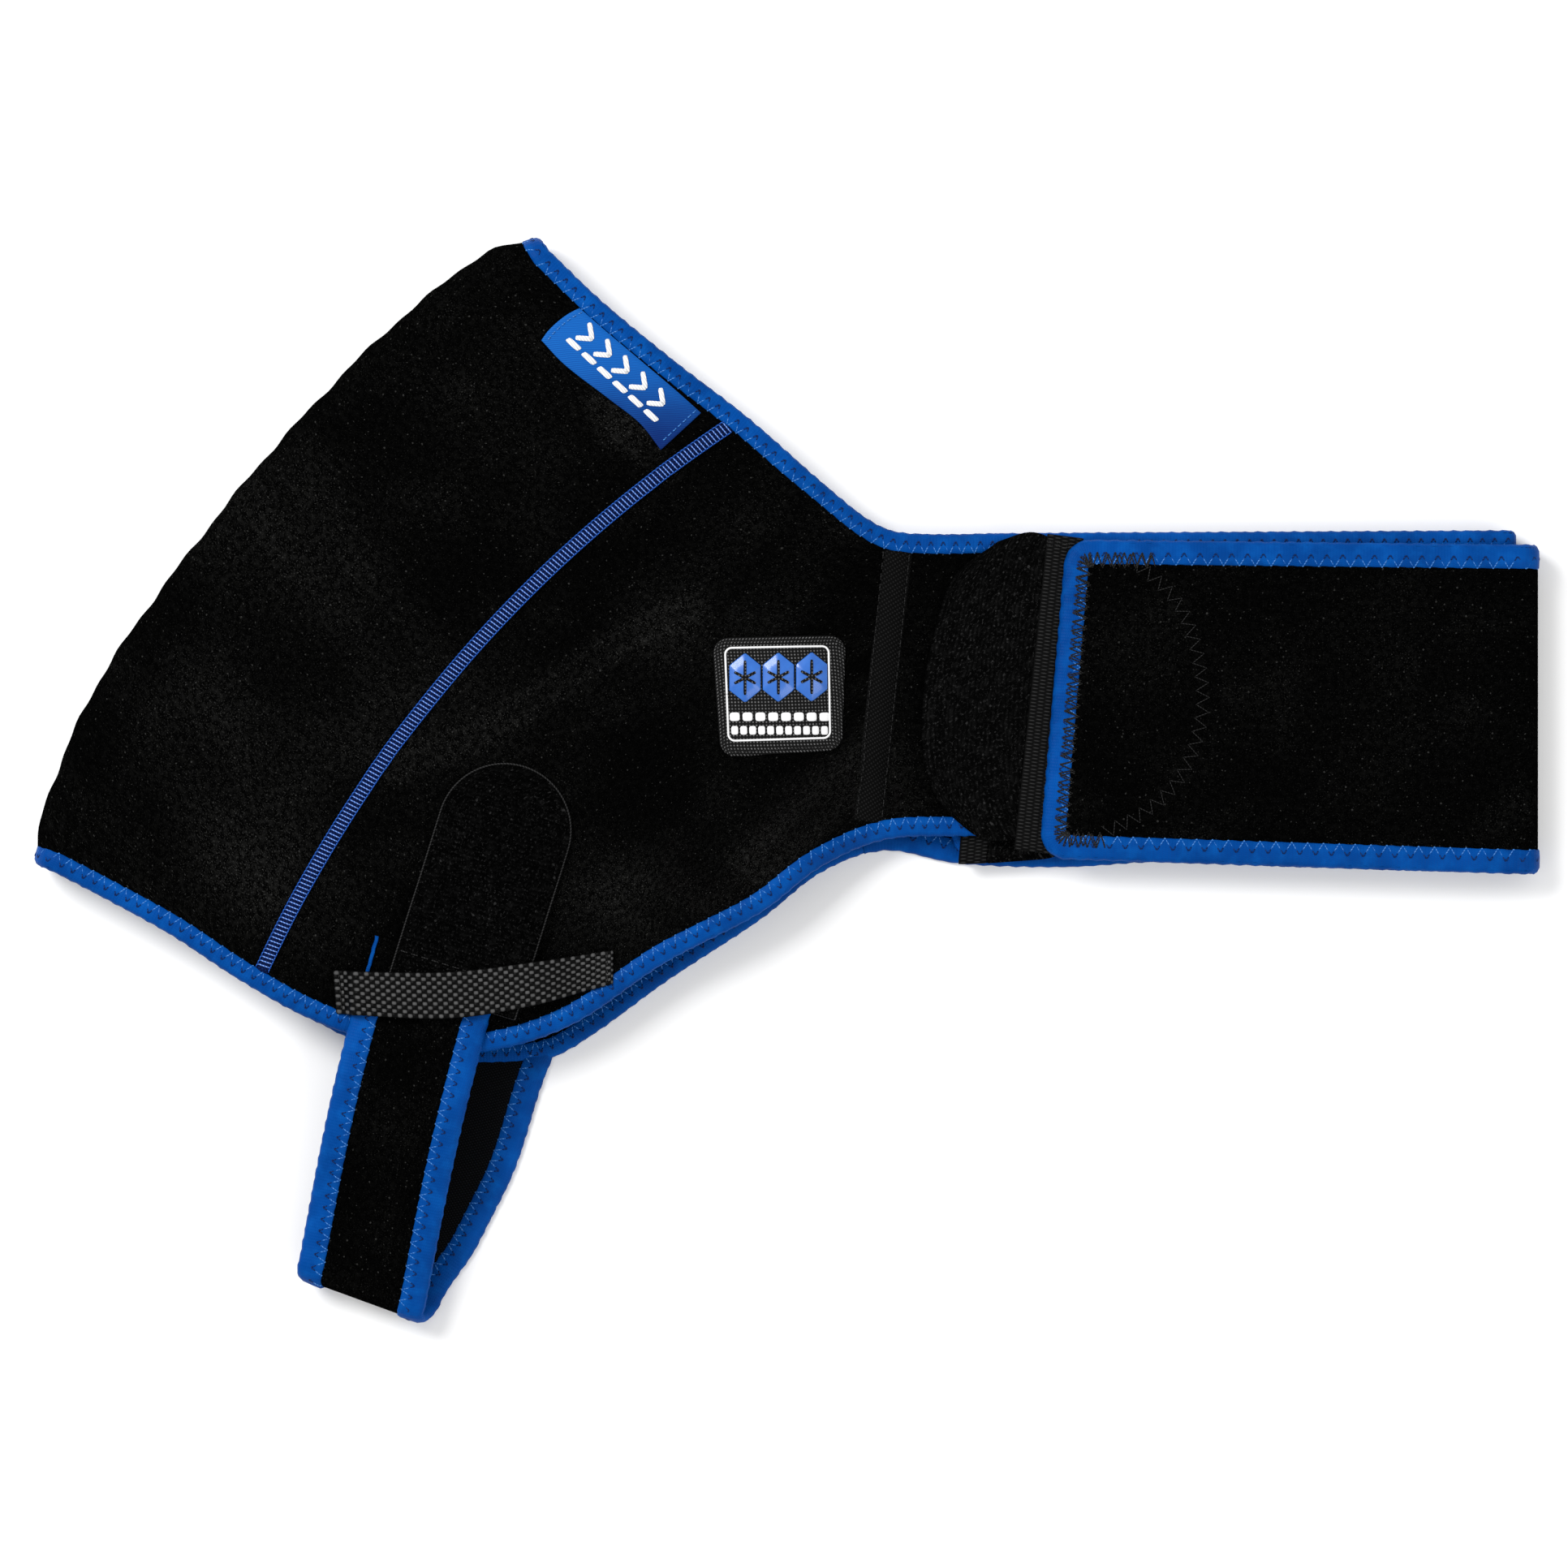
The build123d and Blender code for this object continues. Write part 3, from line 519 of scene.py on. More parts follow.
def wovenFinish(name, dark, light, pitch, across, roughness=0.7, coarse=0.00012, diagonal=0.0):
    # a woven band: threads over and under one another, the raised crossings lighter as a painted highlight,
    # with flecks of wear that are smoother and brighten that painted highlight
    f = Finish(name, {"Roughness": roughness, "Specular IOR Level": 0.04})
    place = f.clothPlace()
    u, v = f.axes(place)
    over = (u * (np.pi / pitch) + v * diagonal).sine() * (v * (np.pi / across)).sine()
    wearAndSheen = f.noise(place, 420, 3)
    # painted highlight: lighter where the threads cross over, more so in the wear flecks
    shine = f.ramp(over, 0.0, 0.95) * (0.45 + 0.8 * wearAndSheen)
    f.feed("Base Color", f.mixed(shine, dark, light))
    f.feed("Roughness", roughness - 0.15 * wearAndSheen)
    f.bump(over.size() + 0.3 * wearAndSheen, coarse, 1.0)
    return f.material


def satinFinish():
    # woven label: bright at its first corner, sinking to navy at the far one, with a fine slanting twill
    # whose raised threads are mixed toward a lighter blue as a painted highlight that fades towards the far
    # corner
    f = Finish("labelSatin", {"Roughness": 0.5, "Specular IOR Level": 0.06})
    place = f.clothPlace()
    u, v = f.axes(place)
    twill = ((u + v) * 5600.0).sine() * 0.5 + 0.5
    fall = f.ramp(u * 11.0 + v * 13.0 + 0.25 * f.noise(place, 60, 2), 0.35, 1.15)
    deep = f.mixed(fall, (0.004, 0.075, 0.33, 1), (0.0015, 0.012, 0.10, 1))
    # painted highlight on the twill, weaker towards the far corner
    f.feed("Base Color", f.mixed(twill * 0.45 * (1.0 - 0.85 * fall), deep, (0.01, 0.17, 0.56, 1)))
    f.bump(twill, 0.00008, 0.8)
    return f.material


def dottedFinish():
    # black moulded mesh: rows of small dimples whose rims catch the light
    f = Finish("badgeMesh", {"Roughness": 0.6, "Specular IOR Level": 0.1})
    u, v = f.axes(f.clothPlace())
    cell = (u * (np.pi / 0.0013)).sine() * (v * (np.pi / 0.0013)).sine()
    rim = f.ramp(cell.size(), 0.5, 0.9)
    f.feed("Base Color", f.mixed(rim * f.noise(f.clothPlace(), 500, 1), grey(0.0012), grey(0.20)))
    f.bump(rim, 0.00025, 1.0)
    return f.material


def smoothFinish(name, first, second, roughness, coat, bump=0.00008, scale=300):
    # moulded or film surfaces with a faint ripple
    f = Finish(name, {"Roughness": roughness, "Coat Weight": coat, "Coat Roughness": 0.12})
    place = f.clothPlace()
    ripple = f.noise(place, scale, 3)
    f.feed("Base Color", f.mixed(ripple, first, second))
    f.feed("Roughness", roughness + 0.15 * ripple)
    f.bump(ripple, bump, 0.7)
    return f.material


plush = plushFinish("blackPlush", grey(0.0006), grey(0.060, 0.95))
padPlush = plushFinish("padPlush", grey(0.0012), grey(0.055), 800, 0.0018, False)
tabPlush = plushFinish("tabPlush", grey(0.0007), grey(0.040), 1000, 0.0021, False)
blueBinding = lycraFinish()
blueThread = threadFinish("blueThread", (0.012, 0.075, 0.27, 1), (0.07, 0.24, 0.60, 1))
paleThread = threadFinish("paleThread", (0.03, 0.12, 0.42, 1), (0.22, 0.36, 0.78, 1))
blackThread = threadFinish("blackThread", grey(0.0015), grey(0.022))
seamThread = threadFinish("seamThread", (0.002, 0.02, 0.16, 1), (0.02, 0.12, 0.50, 1))
# a navy copy of the zigzag thread for the stitch tips, painted shade
shadedTipThread = threadFinish("shadedTipThread", (0.0008, 0.008, 0.05, 1), (0.004, 0.03, 0.14, 1))
whiteThread = threadFinish("whiteThread", grey(0.55), grey(0.85), 0.55)
greyEdge = threadFinish("greyEdge", grey(0.003), grey(0.026), 0.6)
navyBase = wovenFinish("navyBase", (0.0008, 0.004, 0.03, 1), (0.003, 0.018, 0.11, 1), 0.0009, 0.0007)
ribbedTape = wovenFinish("ribbedTape", grey(0.0020), grey(0.028), 0.0007, 0.0028, 0.75, 0.0002)
seamTape = wovenFinish("seamTape", grey(0.0010), grey(0.011), 0.0009, 0.0009, 0.8, 0.0001, 900.0)
webbing = wovenFinish("webbing", grey(0.0018), grey(0.085), 0.0020, 0.0015, 0.5, 0.0001)
jersey = wovenFinish("pocketJersey", (0.0012, 0.0014, 0.0018, 1), (0.008, 0.0085, 0.010, 1), 0.0006,
                     0.0009, 0.9)
satin = satinFinish()
hooks = wovenFinish("hookTape", grey(0.003), grey(0.03), 0.0008, 0.0008, 0.6, 0.0004)
badgeMesh = dottedFinish()
reliefBlue = smoothFinish("reliefBlue", (0.004, 0.085, 0.40, 1), (0.012, 0.14, 0.54, 1), 0.28, 0.5)
reliefWhite = smoothFinish("reliefWhite", grey(0.72), grey(0.85), 0.4, 0.2)
gelFilm = smoothFinish("gelFilm", (0.01, 0.09, 0.26, 1), (0.03, 0.17, 0.40, 1), 0.2, 0.6, 0.0006, 60)
print("materials made")


# The folded cloth: one grid from the strap's end on the rear half, round the crease, to the strap's end in
# front

strapHalf = 1.5
bodyMid = boxOf("front_body_panel")[1][2] - strapHalf
wingMid = boxOf("front_hook_pad")[1][2] + strapHalf
underMid = boxOf("front_hook_pad")[0][2] - 0.9 - strapHalf
topMid = boxOf("strap_top_run")[1][2] - strapHalf
rearMid = 1.65

folded = {
    "creaseBulges": [(3.4, 0.8, 0.16), (-1.4, 0.42, 0.2), (-3.3, 0, 0.05)],
    "creaseRipples": [(0.35, 55, 0), (0.25, 131, 1)],
    "rows": 121, "creaseCentre": (181, -201), "creaseRadius": 495, "creaseTurn": (123.8, 160.2),
    "seamCentre": (263.6, -289.3), "seamRadius": 515, "joint": [(32, -21), (45, 100)],
    "neck": [(-72.5, 188.4), (-43.7, 164.6), (-14.9, 142.4), (13.9, 117.4), (33, 102.6), (43, 98.2),
             (58, 97.0), (90, 97.4)],
    "frontLower": [(-265, -43.6), (-239, -57.9), (-213, -75), (-188, -89.2), (-167, -97.5), (-140, -104),
                   (-113, -103), (-83, -93),
                   (-47, -69), (-9, -49), (14, -31.5), (39, -21), (68, -19.5), (110, -19.5)],
    "rearLower": [(-265, -43.2), (-239, -57.5), (-213, -75), (-188, -90.2), (-167, -101), (-140, -108),
                  (-116, -109.5), (-92, -107),
                  (-76, -98), (-47, -77), (-9, -52), (14, -34), (39, -25), (68, -30), (110, -31.5),
                  (150, -29.4), (200, -31.4)],
    "frontStrap": (98.5, -19.5, 282.5), "rearStrap": (92.5, -34.0, 286.65),
    "underEnd": [(77, 89), (66, -29)], "topEnd": [(111.5, 94.4), (101, -28)], "endRadius": 9,
}
creases = [([(-152, 6), (-110, 24), (-62, 57), (-36, 68)], 1.0, 3.2), ([(-72, 147), (-46, 122)], 0.8, 3.0)]
ridges = [([(-8.5, -31), (33, 10)], 1.3, 5.0), ([(-200, 115), (-145, 45)], 0.5, 9.0),
          ([(-60, -45), (-20, -62)], 0.7, 8.0),
          ([(-235, 20), (-180, -50)], 0.5, 12.0), ([(-30, 60), (10, 110)], 0.4, 14.0)]
# soft spots of lighter plush, brushing with painted sheen: centre x, centre y, size and strength
brushedAndSheenSpots = [(-190, 88, 34, 0.30), (-110, 150, 36, 0.22), (-212, -30, 26, 0.55), (-78, -50, 30, 0.35),
                (40, 4, 22, 0.30),
                (-62, 140, 10, 0.55), (-120, 28, 26, 0.35), (-45, 62, 20, 0.3), (-225, 30, 26, 0.25),
                (-10, -30, 22, 0.35),
                (-165, 15, 26, 0.3), (230, 30, 60, 0.08), (140, 50, 22, 0.2), (-20, 20, 18, 0.15)]


def clothRelief(x, y):
    # soft waves, plus a pair of raised flanks beside each crease, plus ridges
    rise = 0.25 * (1 + np.sin(x / 19 + 1.3 * np.sin(y / 27)) * np.sin(y / 23 + x / 60))
    for line, height, width in creases:
        d = distanceTo(x, y, line)
        rise = rise + height * (1.25 * hump(d, 0, 2.4 * width) - 1.25 * hump(d, 0, 0.75 * width))
    for line, height, width in ridges:
        rise = rise + height * hump(distanceTo(x, y, line), 0, width)
    return rise


def frontLevel(x, y):
    # middle of the front panel: level over the packs, then down to the strap
    fade = smoothStep(x, -305, -270) * (1 - smoothStep(x, 60, 90))
    return wingMid + (bodyMid - wingMid) * (1 - smoothStep(x, 0, 46)) + clothRelief(x, y) * fade


def brushedAndSheenAt(points):
    # how much lighter the plush is: soft spots of brushing whose lightness is painted sheen, and painted
    # highlights along the flanks of the creases and ridges, on the upper layer only
    x, y = points[:, 0], points[:, 1]
    napAndSheen = sum(much * np.exp(-((x - cx) ** 2 + (y - cy) ** 2) / size ** 2) for cx, cy, size,
              much in brushedAndSheenSpots)
    for line, height, width in creases + ridges:
        napAndSheen = napAndSheen + 0.45 * height * hump(distanceTo(x, y, line), width, width)
    return np.clip(napAndSheen, 0, 1) * (points[:, 2] > 8)


def lifted(flat, level):
    # a plan grid given its height
    z = level(flat[..., 0], flat[..., 1]) if callable(level) else np.full(flat.shape[:2], float(level))
    return np.concatenate([flat, z[..., None]], axis=-1)


def creaseLine(rows):
    # the crease in plan: an arc that bows out a little
    turn = np.linspace(0, 1, rows)
    angle = np.radians(folded["creaseTurn"][0] + (folded["creaseTurn"][1] - folded["creaseTurn"][0]) * turn)
    radius = folded["creaseRadius"] + sum(high * hump(turn, at, wide) for high, at,
                                          wide in folded["creaseBulges"])
    radius = radius + sum(high * np.sin(turn * rate + late) for high, rate, late in folded["creaseRipples"])
    out = np.stack([np.cos(angle), np.sin(angle)], axis=1)
    return np.array(folded["creaseCentre"]) + out * radius[:, None], out, turn


def halfGrid(lower, strap, end, level, foldMid, endMid, columns):
    # cap, body and strap of one half, from the crease to the strap's end, and the columns where they meet
    high, low, foldX = strap
    rows = folded["rows"]
    crease = creaseLine(rows)[0]
    neck = smoothPath([crease[0], *folded["neck"], (foldX, high)])
    lowerLine = smoothPath([crease[-1], *lower, (foldX, low)])
    jointLine = np.array(folded["joint"], float)
    lean = unit(jointLine[1] - jointLine[0])
    cuts = []
    for line in (neck, lowerLine):
        line = resample(line, 1200)
        cap, rest = cutWhere(line, np.linalg.norm(line - folded["seamCentre"], axis=1)
                             - folded["seamRadius"])
        body, wing = cutWhere(rest, (rest - jointLine[0]) @ np.array([lean[1], -lean[0]]))
        cuts.append((cap, body, wing))
    (capTop, bodyTop, wingTop), (capLow, bodyLow, wingLow) = cuts
    ends = [np.arctan2(*(p[-1] - folded["seamCentre"])[::-1]) for p in (capTop, capLow)]
    angle = np.linspace(*ends, rows)
    seam = np.array(folded["seamCentre"]) + folded["seamRadius"] * np.stack([np.cos(angle), np.sin(angle)],
                                                                            axis=1)
    joint = resample(np.stack([bodyTop[-1], bodyLow[-1]]), rows)
    fold = resample(np.array([(foldX, high), (foldX, low)], float), rows)
    patches = []
    for top, under, left, right, count in ((capTop, capLow, crease, seam, columns[0]),
                                           (bodyTop, bodyLow, seam, joint, columns[1]),
                                           (wingTop, wingLow, joint, fold, columns[2])):
        patches.append(lifted(coons(resample(top, count), resample(under, count), left, right), level))
    radius = (endMid - foldMid) / 2
    phi = np.linspace(0, np.pi, columns[3])[None, 1:-1, None]
    rim = np.abs(radius)
    turn = np.concatenate([foldX + rim * np.sin(phi) + 0 * fold[:, None, :1], fold[:, None, 1:] + 0 * phi,
                           foldMid + radius * (1 - np.cos(phi)) + 0 * fold[:, None, :1]], axis=-1)
    tip = roundedPath([fold[0] * [0, 1] + [foldX, 0], end[0], end[1], (foldX, low)], [folded["endRadius"]]
                      * 2)
    corner = [tip[1], tip[-2]]
    count = columns[4]
    back = coons(resample(np.stack([tip[0], corner[0]]), count),
                 resample(np.stack([tip[-1], corner[1]]), count),
                 fold, resample(tip[1:-1], rows))
    patches += [turn, lifted(back, endMid)]
    starts = np.cumsum([0, columns[0] - 1, columns[1] - 1])
    return np.concatenate([patches[0], patches[1][:, 1:], patches[2][:, 1:], patches[3], patches[4]],
                          axis=1), starts


frontGrid, frontStarts = halfGrid(folded["frontLower"], folded["frontStrap"], folded["underEnd"],
                                  frontLevel, wingMid,
                                  underMid, (64, 80, 90, 10, 60))
rearGrid, rearStarts = halfGrid(folded["rearLower"], folded["rearStrap"], folded["topEnd"], rearMid,
                                rearMid, topMid,
                                (30, 40, 70, 16, 84))


def creaseGrid():
    # half a tube between the two halves, pinched towards its ends
    line, out, turn = creaseLine(folded["rows"])
    high, low = frontGrid[:, 0, 2], rearGrid[:, 0, 2]
    bulge = (0.5 + 0.5 * smoothStep(turn, -0.01, 0.06)) * (1 - 0.35 * smoothStep(turn, 0.93, 1.02))
    phi = np.linspace(np.pi, 0, 17)[None, 1:-1]
    reach = (bulge * (high - low) / 2)[:, None] * np.sin(phi)
    z = ((high + low) / 2)[:, None] + ((high - low) / 2)[:, None] * np.cos(phi)
    return np.concatenate([line[:, None] + out[:, None] * reach[..., None], z[..., None]], axis=-1)


wrapGrid = np.concatenate([rearGrid[:, ::-1], creaseGrid(), frontGrid], axis=1)
wrapNormals = gridNormals(wrapGrid)
rearCount, creaseAt = rearGrid.shape[1], rearGrid.shape[1] + 15
columnOf = {"rearEnd": 0, "rearJoint": rearCount - 1 - rearStarts[2], "rearSeam": rearCount - 1
            - rearStarts[1],
            "frontSeam": creaseAt + frontStarts[1], "frontJoint": creaseAt + frontStarts[2],
            "frontEnd": wrapGrid.shape[1] - 1}
clothThickness = 2.7 + 0.3 * smoothStep(wrapGrid[..., 2], 2, 6)


def panel(name, start, end, body, nodes):
    # one cut piece of the folded cloth
    at = slice(columnOf[start], columnOf[end] + 1)
    part = slab(wrapGrid[:, at], clothThickness[:, at], wrapNormals[:, at])
    piece = makeMesh(name, [part], plush, brushedAndSheenAt)
    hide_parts(*nodes)
    if body:
        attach(piece, body)
    return piece


capCloth = panel("capCloth", "rearSeam", "frontSeam", "wrap",
                 ["rear_cap_panel", "cap_crease", "front_cap_panel"])
frontBodyCloth = panel("frontBodyCloth", "frontSeam", "frontJoint", "wrap", ["front_body_panel"])
frontStrapCloth = panel("frontStrapCloth", "frontJoint", "frontEnd", "wrap", ["front_chest_strap"])
rearBodyCloth = panel("rearBodyCloth", "rearJoint", "rearSeam", "wrap", ["rear_body_panel"])
rearStrapCloth = panel("rearStrapCloth", "rearEnd", "rearJoint", None,
                       ["rear_strap_lower_run", "rear_strap_fold", "strap_top_run"])


def unfolds(piece):
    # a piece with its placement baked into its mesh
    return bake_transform(piece)


unfolds(rearStrapCloth)
print("cloth made")


# Bindings, and the seam and tape sewn along the cloth

def place(piece, body, pieceSlot, *nodes):
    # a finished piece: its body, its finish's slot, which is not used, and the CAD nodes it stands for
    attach(piece, body)
    if nodes:
        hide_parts(*nodes)
    return piece


lastRow, lastColumn = folded["rows"] - 1, columnOf["frontEnd"]
binding = {"bodyWidth": 6.7, "strapWidth": 8.3, "bodyPitch": 4.8, "strapPitch": 6.2, "start": 4.8,
           "past": 0.15}


def gridPath(*stretches):
    # rows and columns of grid points along straight stretches, each from one corner to the next
    rows, columns = [], []
    for (r0, c0), (r1, c1) in stretches:
        count = abs(r1 - r0) + abs(c1 - c0) + 1
        rows.append(np.linspace(r0, r1, count).round().astype(int))
        columns.append(np.linspace(c0, c1, count).round().astype(int))
    return np.concatenate(rows), np.concatenate(columns)


joint = columnOf["rearJoint"]
mainEdge = edgeOf(wrapGrid, wrapNormals, *gridPath(((0, joint), (0, lastColumn)),
                                                   ((0, lastColumn), (lastRow, lastColumn)),
                                                   ((lastRow, lastColumn), (lastRow, joint))))
strapEdge = edgeOf(wrapGrid, wrapNormals, *gridPath(((lastRow, joint), (lastRow, 0)),
                                                    ((lastRow, 0), (0, 0)),
                                                    ((0, 0), (0, joint))))
mainBinding = makeMesh("mainBinding", [bindingPart(mainEdge, binding["bodyWidth"], binding["bodyPitch"])],
                       blueBinding)
place(mainBinding, "wrap", "elastic_binding", "front_neck_binding", "front_lower_binding",
      "rear_neck_binding",
      "rear_lower_binding")


def twoTone(name, edges, pitch, width):
    # zigzag thread over a band's inner border: the outer corners of each stitch are made in a dark navy
    # thread as painted shade, the rest in the lighter blue thread
    near, far = width - binding["start"], width + binding["past"]
    return [makeMesh(name + part, [p for e in edges for p in zigzagParts(e, pitch, near, far, 0.5, share)],
                     finish)
            for part, share, finish in (("", (0.36, 1), blueThread), ("ShadedTips", (0, 0.40), shadedTipThread))]


for piece in twoTone("mainZigzag", [mainEdge], binding["bodyPitch"], binding["bodyWidth"]):
    place(piece, "wrap", "seam_thread")
strapBinding = makeMesh("strapBinding", [bindingPart(strapEdge, binding["strapWidth"],
                                                     binding["strapPitch"])], blueBinding)
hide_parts("strap_top_binding")
unfolds(strapBinding)
for piece in twoTone("strapZigzag", [strapEdge], binding["strapPitch"], binding["strapWidth"]):
    unfolds(piece)


def ribbonParts(edge, start, end, halfWidth, low, high):
    # a flat ribbon with a slight crown, along a stretch of an edge
    s = np.arange(start, end, 1.2)
    line, up = offEdge(edge, s, 0 * s, 0 * s)
    side = unit(along(edge["line"], s, edge["inward"]))
    section = np.array([(-1, low), (-0.93, high - 0.12), (0, high), (0.93, high - 0.12), (1, low),
                        (0, low)])
    return [sweep(line, side, up, section * [halfWidth, 1])]


def rowsOf(edge, at, across, low):
    # start and end points of stitches given by distance along an edge and inward across it
    first, up = offEdge(edge, at[0], across[0], low + 0 * at[0])
    second = offEdge(edge, at[1], across[1], low + 0 * at[0])[0]
    return first, second, up


flatlock = {"pitch": 1.7, "half": 2.75, "neckGap": 6.4, "lowerGap": 5.8}


def flatlockSeam(name, column, node, top):
    # a flat seam: a dark ground, pale rungs across it, and a chain of loops down each side
    edge = edgeOf(wrapGrid, wrapNormals, *gridPath(((0, column), (lastRow, column))), step=1.0)
    start, end = flatlock["neckGap"], runOf(edge["line"])[-1] - flatlock["lowerGap"]
    ground = makeMesh(name + "Ground", ribbonParts(edge, start, end, flatlock["half"], top - 0.6, top),
                      navyBase)
    s = np.arange(start + 1, end - 2, flatlock["pitch"])
    rungs = makeMesh(name + "Rungs", [stitches(*rowsOf(edge, (s, s + 0.5), (-2.3 + 0 * s, 2.3 + 0 * s),
                                                       top), 0.2, 0.25)],
                     paleThread)
    chain = []
    for side in (-2.5, 2.5):
        chain.append(stitches(*rowsOf(edge, (s - 0.3, s + 1.9), (side + 0 * s, side * 1.08 + 0 * s), top),
                              0.2, 0.24))
    chains = makeMesh(name + "Chains", chain, seamThread)
    place(ground, "wrap", "seam_thread", node)
    place(rungs, "wrap", "seam_thread")
    place(chains, "wrap", "seam_thread")


flatlockSeam("frontSeam", columnOf["frontSeam"], "front_seam_thread", 1.95)
flatlockSeam("rearSeam", columnOf["rearSeam"], "rear_seam_thread", 1.3)

tape = {"half": 6.4, "start": 6.6, "end": 115, "dash": 2.5, "gap": 1.7, "inset": 5.1}


def jointTape(name, column, node, top):
    # a twill tape over the strap's joint, run down with two rows of stitches
    edge = edgeOf(wrapGrid, wrapNormals, *gridPath(((0, column), (lastRow, column))), step=1.0)
    end = min(tape["end"], runOf(edge["line"])[-1] - 8)
    ribbon = makeMesh(name, ribbonParts(edge, tape["start"], end, tape["half"], top - 0.7, top), seamTape)
    place(ribbon, "wrap", "ribbed_tape", node)
    s = np.arange(tape["start"] + 1, end - 3, tape["dash"] + tape["gap"])
    rows = [stitches(*rowsOf(edge, (s, s + tape["dash"]), (side + 0 * s, side + 0 * s), top), 0.18, 0.24)
            for side in (-tape["inset"], tape["inset"])]
    place(makeMesh(name + "Stitches", rows, blackThread), "wrap", "seam_thread")


jointTape("frontJointTape", columnOf["frontJoint"], "front_joint_tape", 2.0)
jointTape("rearJointTape", columnOf["rearJoint"], "rear_joint_tape", 1.3)
print("bindings and seams made")


# Badge and label on the front

def onFront(lift):
    # a height over the front panel's face
    return lambda x, y: frontLevel(x, y) + strapHalf + lift


def plate(outline, lift, high, bevel=0.16):
    # a raised shape with a bevelled top that closes on its middle; its outline has no hollows
    centre = outline.mean(0)
    reach = np.linalg.norm(outline - centre, axis=1, keepdims=True)
    inner = outline - (outline - centre) / reach * bevel
    points = np.vstack([lifted(outline[None], onFront(lift))[0],
                        lifted(outline[None], onFront(high - bevel))[0],
                        lifted(inner[None], onFront(high))[0], lifted(centre[None, None], onFront(high))[0],
                        lifted(centre[None, None], onFront(lift))[0]])
    n = len(outline)
    j = np.arange(n)
    k = (j + 1) % n
    top = np.stack([2 * n + j, 2 * n + k, np.full(n, 3 * n)], axis=1)
    under = np.stack([k, j, np.full(n, 3 * n + 1)], axis=1)
    uv = np.vstack([outline, outline, inner, centre, centre])
    return points, [gridFaces(3, n, True)[:, ::-1], top, under], uv


def bar(centre, angle, length, width, slant=0.0, round_=0.35, count=24):
    # a superellipse-cornered bar, turned and slanted
    t = np.linspace(0, 2 * np.pi, count, endpoint=False)
    x = np.sign(np.cos(t)) * np.abs(np.cos(t)) ** round_ * length / 2
    y = np.sign(np.sin(t)) * np.abs(np.sin(t)) ** round_ * width / 2
    x = x + slant * y
    c, s = np.cos(np.radians(angle)), np.sin(np.radians(angle))
    return np.stack([centre[0] + x * c - y * s, centre[1] + x * s + y * c], axis=1)


def hexagon(centre, across, tall):
    # a hexagon point up, with eight points to a side
    turn = np.radians(np.arange(30, 391, 60))
    corners = np.stack([np.cos(turn) * across / np.sqrt(3), np.sin(turn) * tall / 2], axis=1)
    return resample(corners, 49)[:-1] + centre


def frameLine(corners, radius, lift):
    # a closed rounded line lying on the front
    outline = outlineOf(corners, [radius] * 4)
    return lifted(outline[None], onFront(lift))[0]


badge = {
    "corners": [(-28, 56.8), (24, 58), (22.5, 13.5), (-24.6, 10.5)], "radius": 6,
    "frame": [(-23, 53), (17.4, 53.8), (18, 18), (-21.6, 16.8)], "frameRadius": 2.6,
    "crystals": [(-15.2, 41.4), (-2.2, 41.6), (10.8, 41.8)], "crystal": (12.2, 19.5), "skin": 1.0,
    "bars": [(26.2, 8, 3.9, 3.4), (20.9, 11, 2.7, 3.4)], "barSpan": (-19.2, 15.8),
}
badgeOutline = outlineOf(badge["corners"], [badge["radius"]] * 4)
badgeFlat = patchOf(badgeOutline, [(-27, 55.5), (23, 56.5), (21.5, 15), (-23.5, 12)], 40, 44)
badgePatch = makeMesh("badgePatch", [slab(lifted(badgeFlat, onFront(badge["skin"] / 2 - 0.15)),
                                          badge["skin"])], badgeMesh)
place(badgePatch, "wrap", "badge_mesh", "badge_patch")
top = badge["skin"] - 0.2
crystals = [plate(hexagon(c, *badge["crystal"]), top, top + 0.55, 0.3) for c in badge["crystals"]]
place(makeMesh("badgeCrystals", crystals, reliefBlue), "wrap", "badge_relief", "badge_motif")
flakes = [plate(bar(c, 90 + turn, 13.5 if turn == 0 else 9.5, 1.15), top + 0.4, top + 0.75, 0.12)
          for c in badge["crystals"] for turn in (0, 62, -62)]
place(makeMesh("badgeFlakes", flakes, badgeMesh), "wrap", "badge_relief")
lines = []
for y, count, length, tall in badge["bars"]:
    for x in np.linspace(*badge["barSpan"], count):
        lines.append(plate(bar((x, y), 1.5, length, tall, 0.0, 0.5), top, top + 0.35, 0.2))
frameEdge = frameLine(badge["frame"], badge["frameRadius"], top + 0.12)
lines.append(tube(np.vstack([frameEdge, frameEdge[:2]]), 0.42))
place(makeMesh("badgeLines", lines, reliefWhite), "wrap", "badge_relief")
hem = frameLine([(-26.6, 55.4), (22.6, 56.5), (21.1, 15.0), (-23.3, 12.1)], 4.8, badge["skin"])
at = np.arange(0, runOf(hem)[-1] - 2, 2.6)
hemStitches = stitches(along(hem, at), along(hem, at + 1.7), np.tile([0.0, 0.0, 1.0], (len(at), 1)), 0.12,
                       0.2)
place(makeMesh("badgeHem", [hemStitches], blackThread), "wrap", "seam_thread")

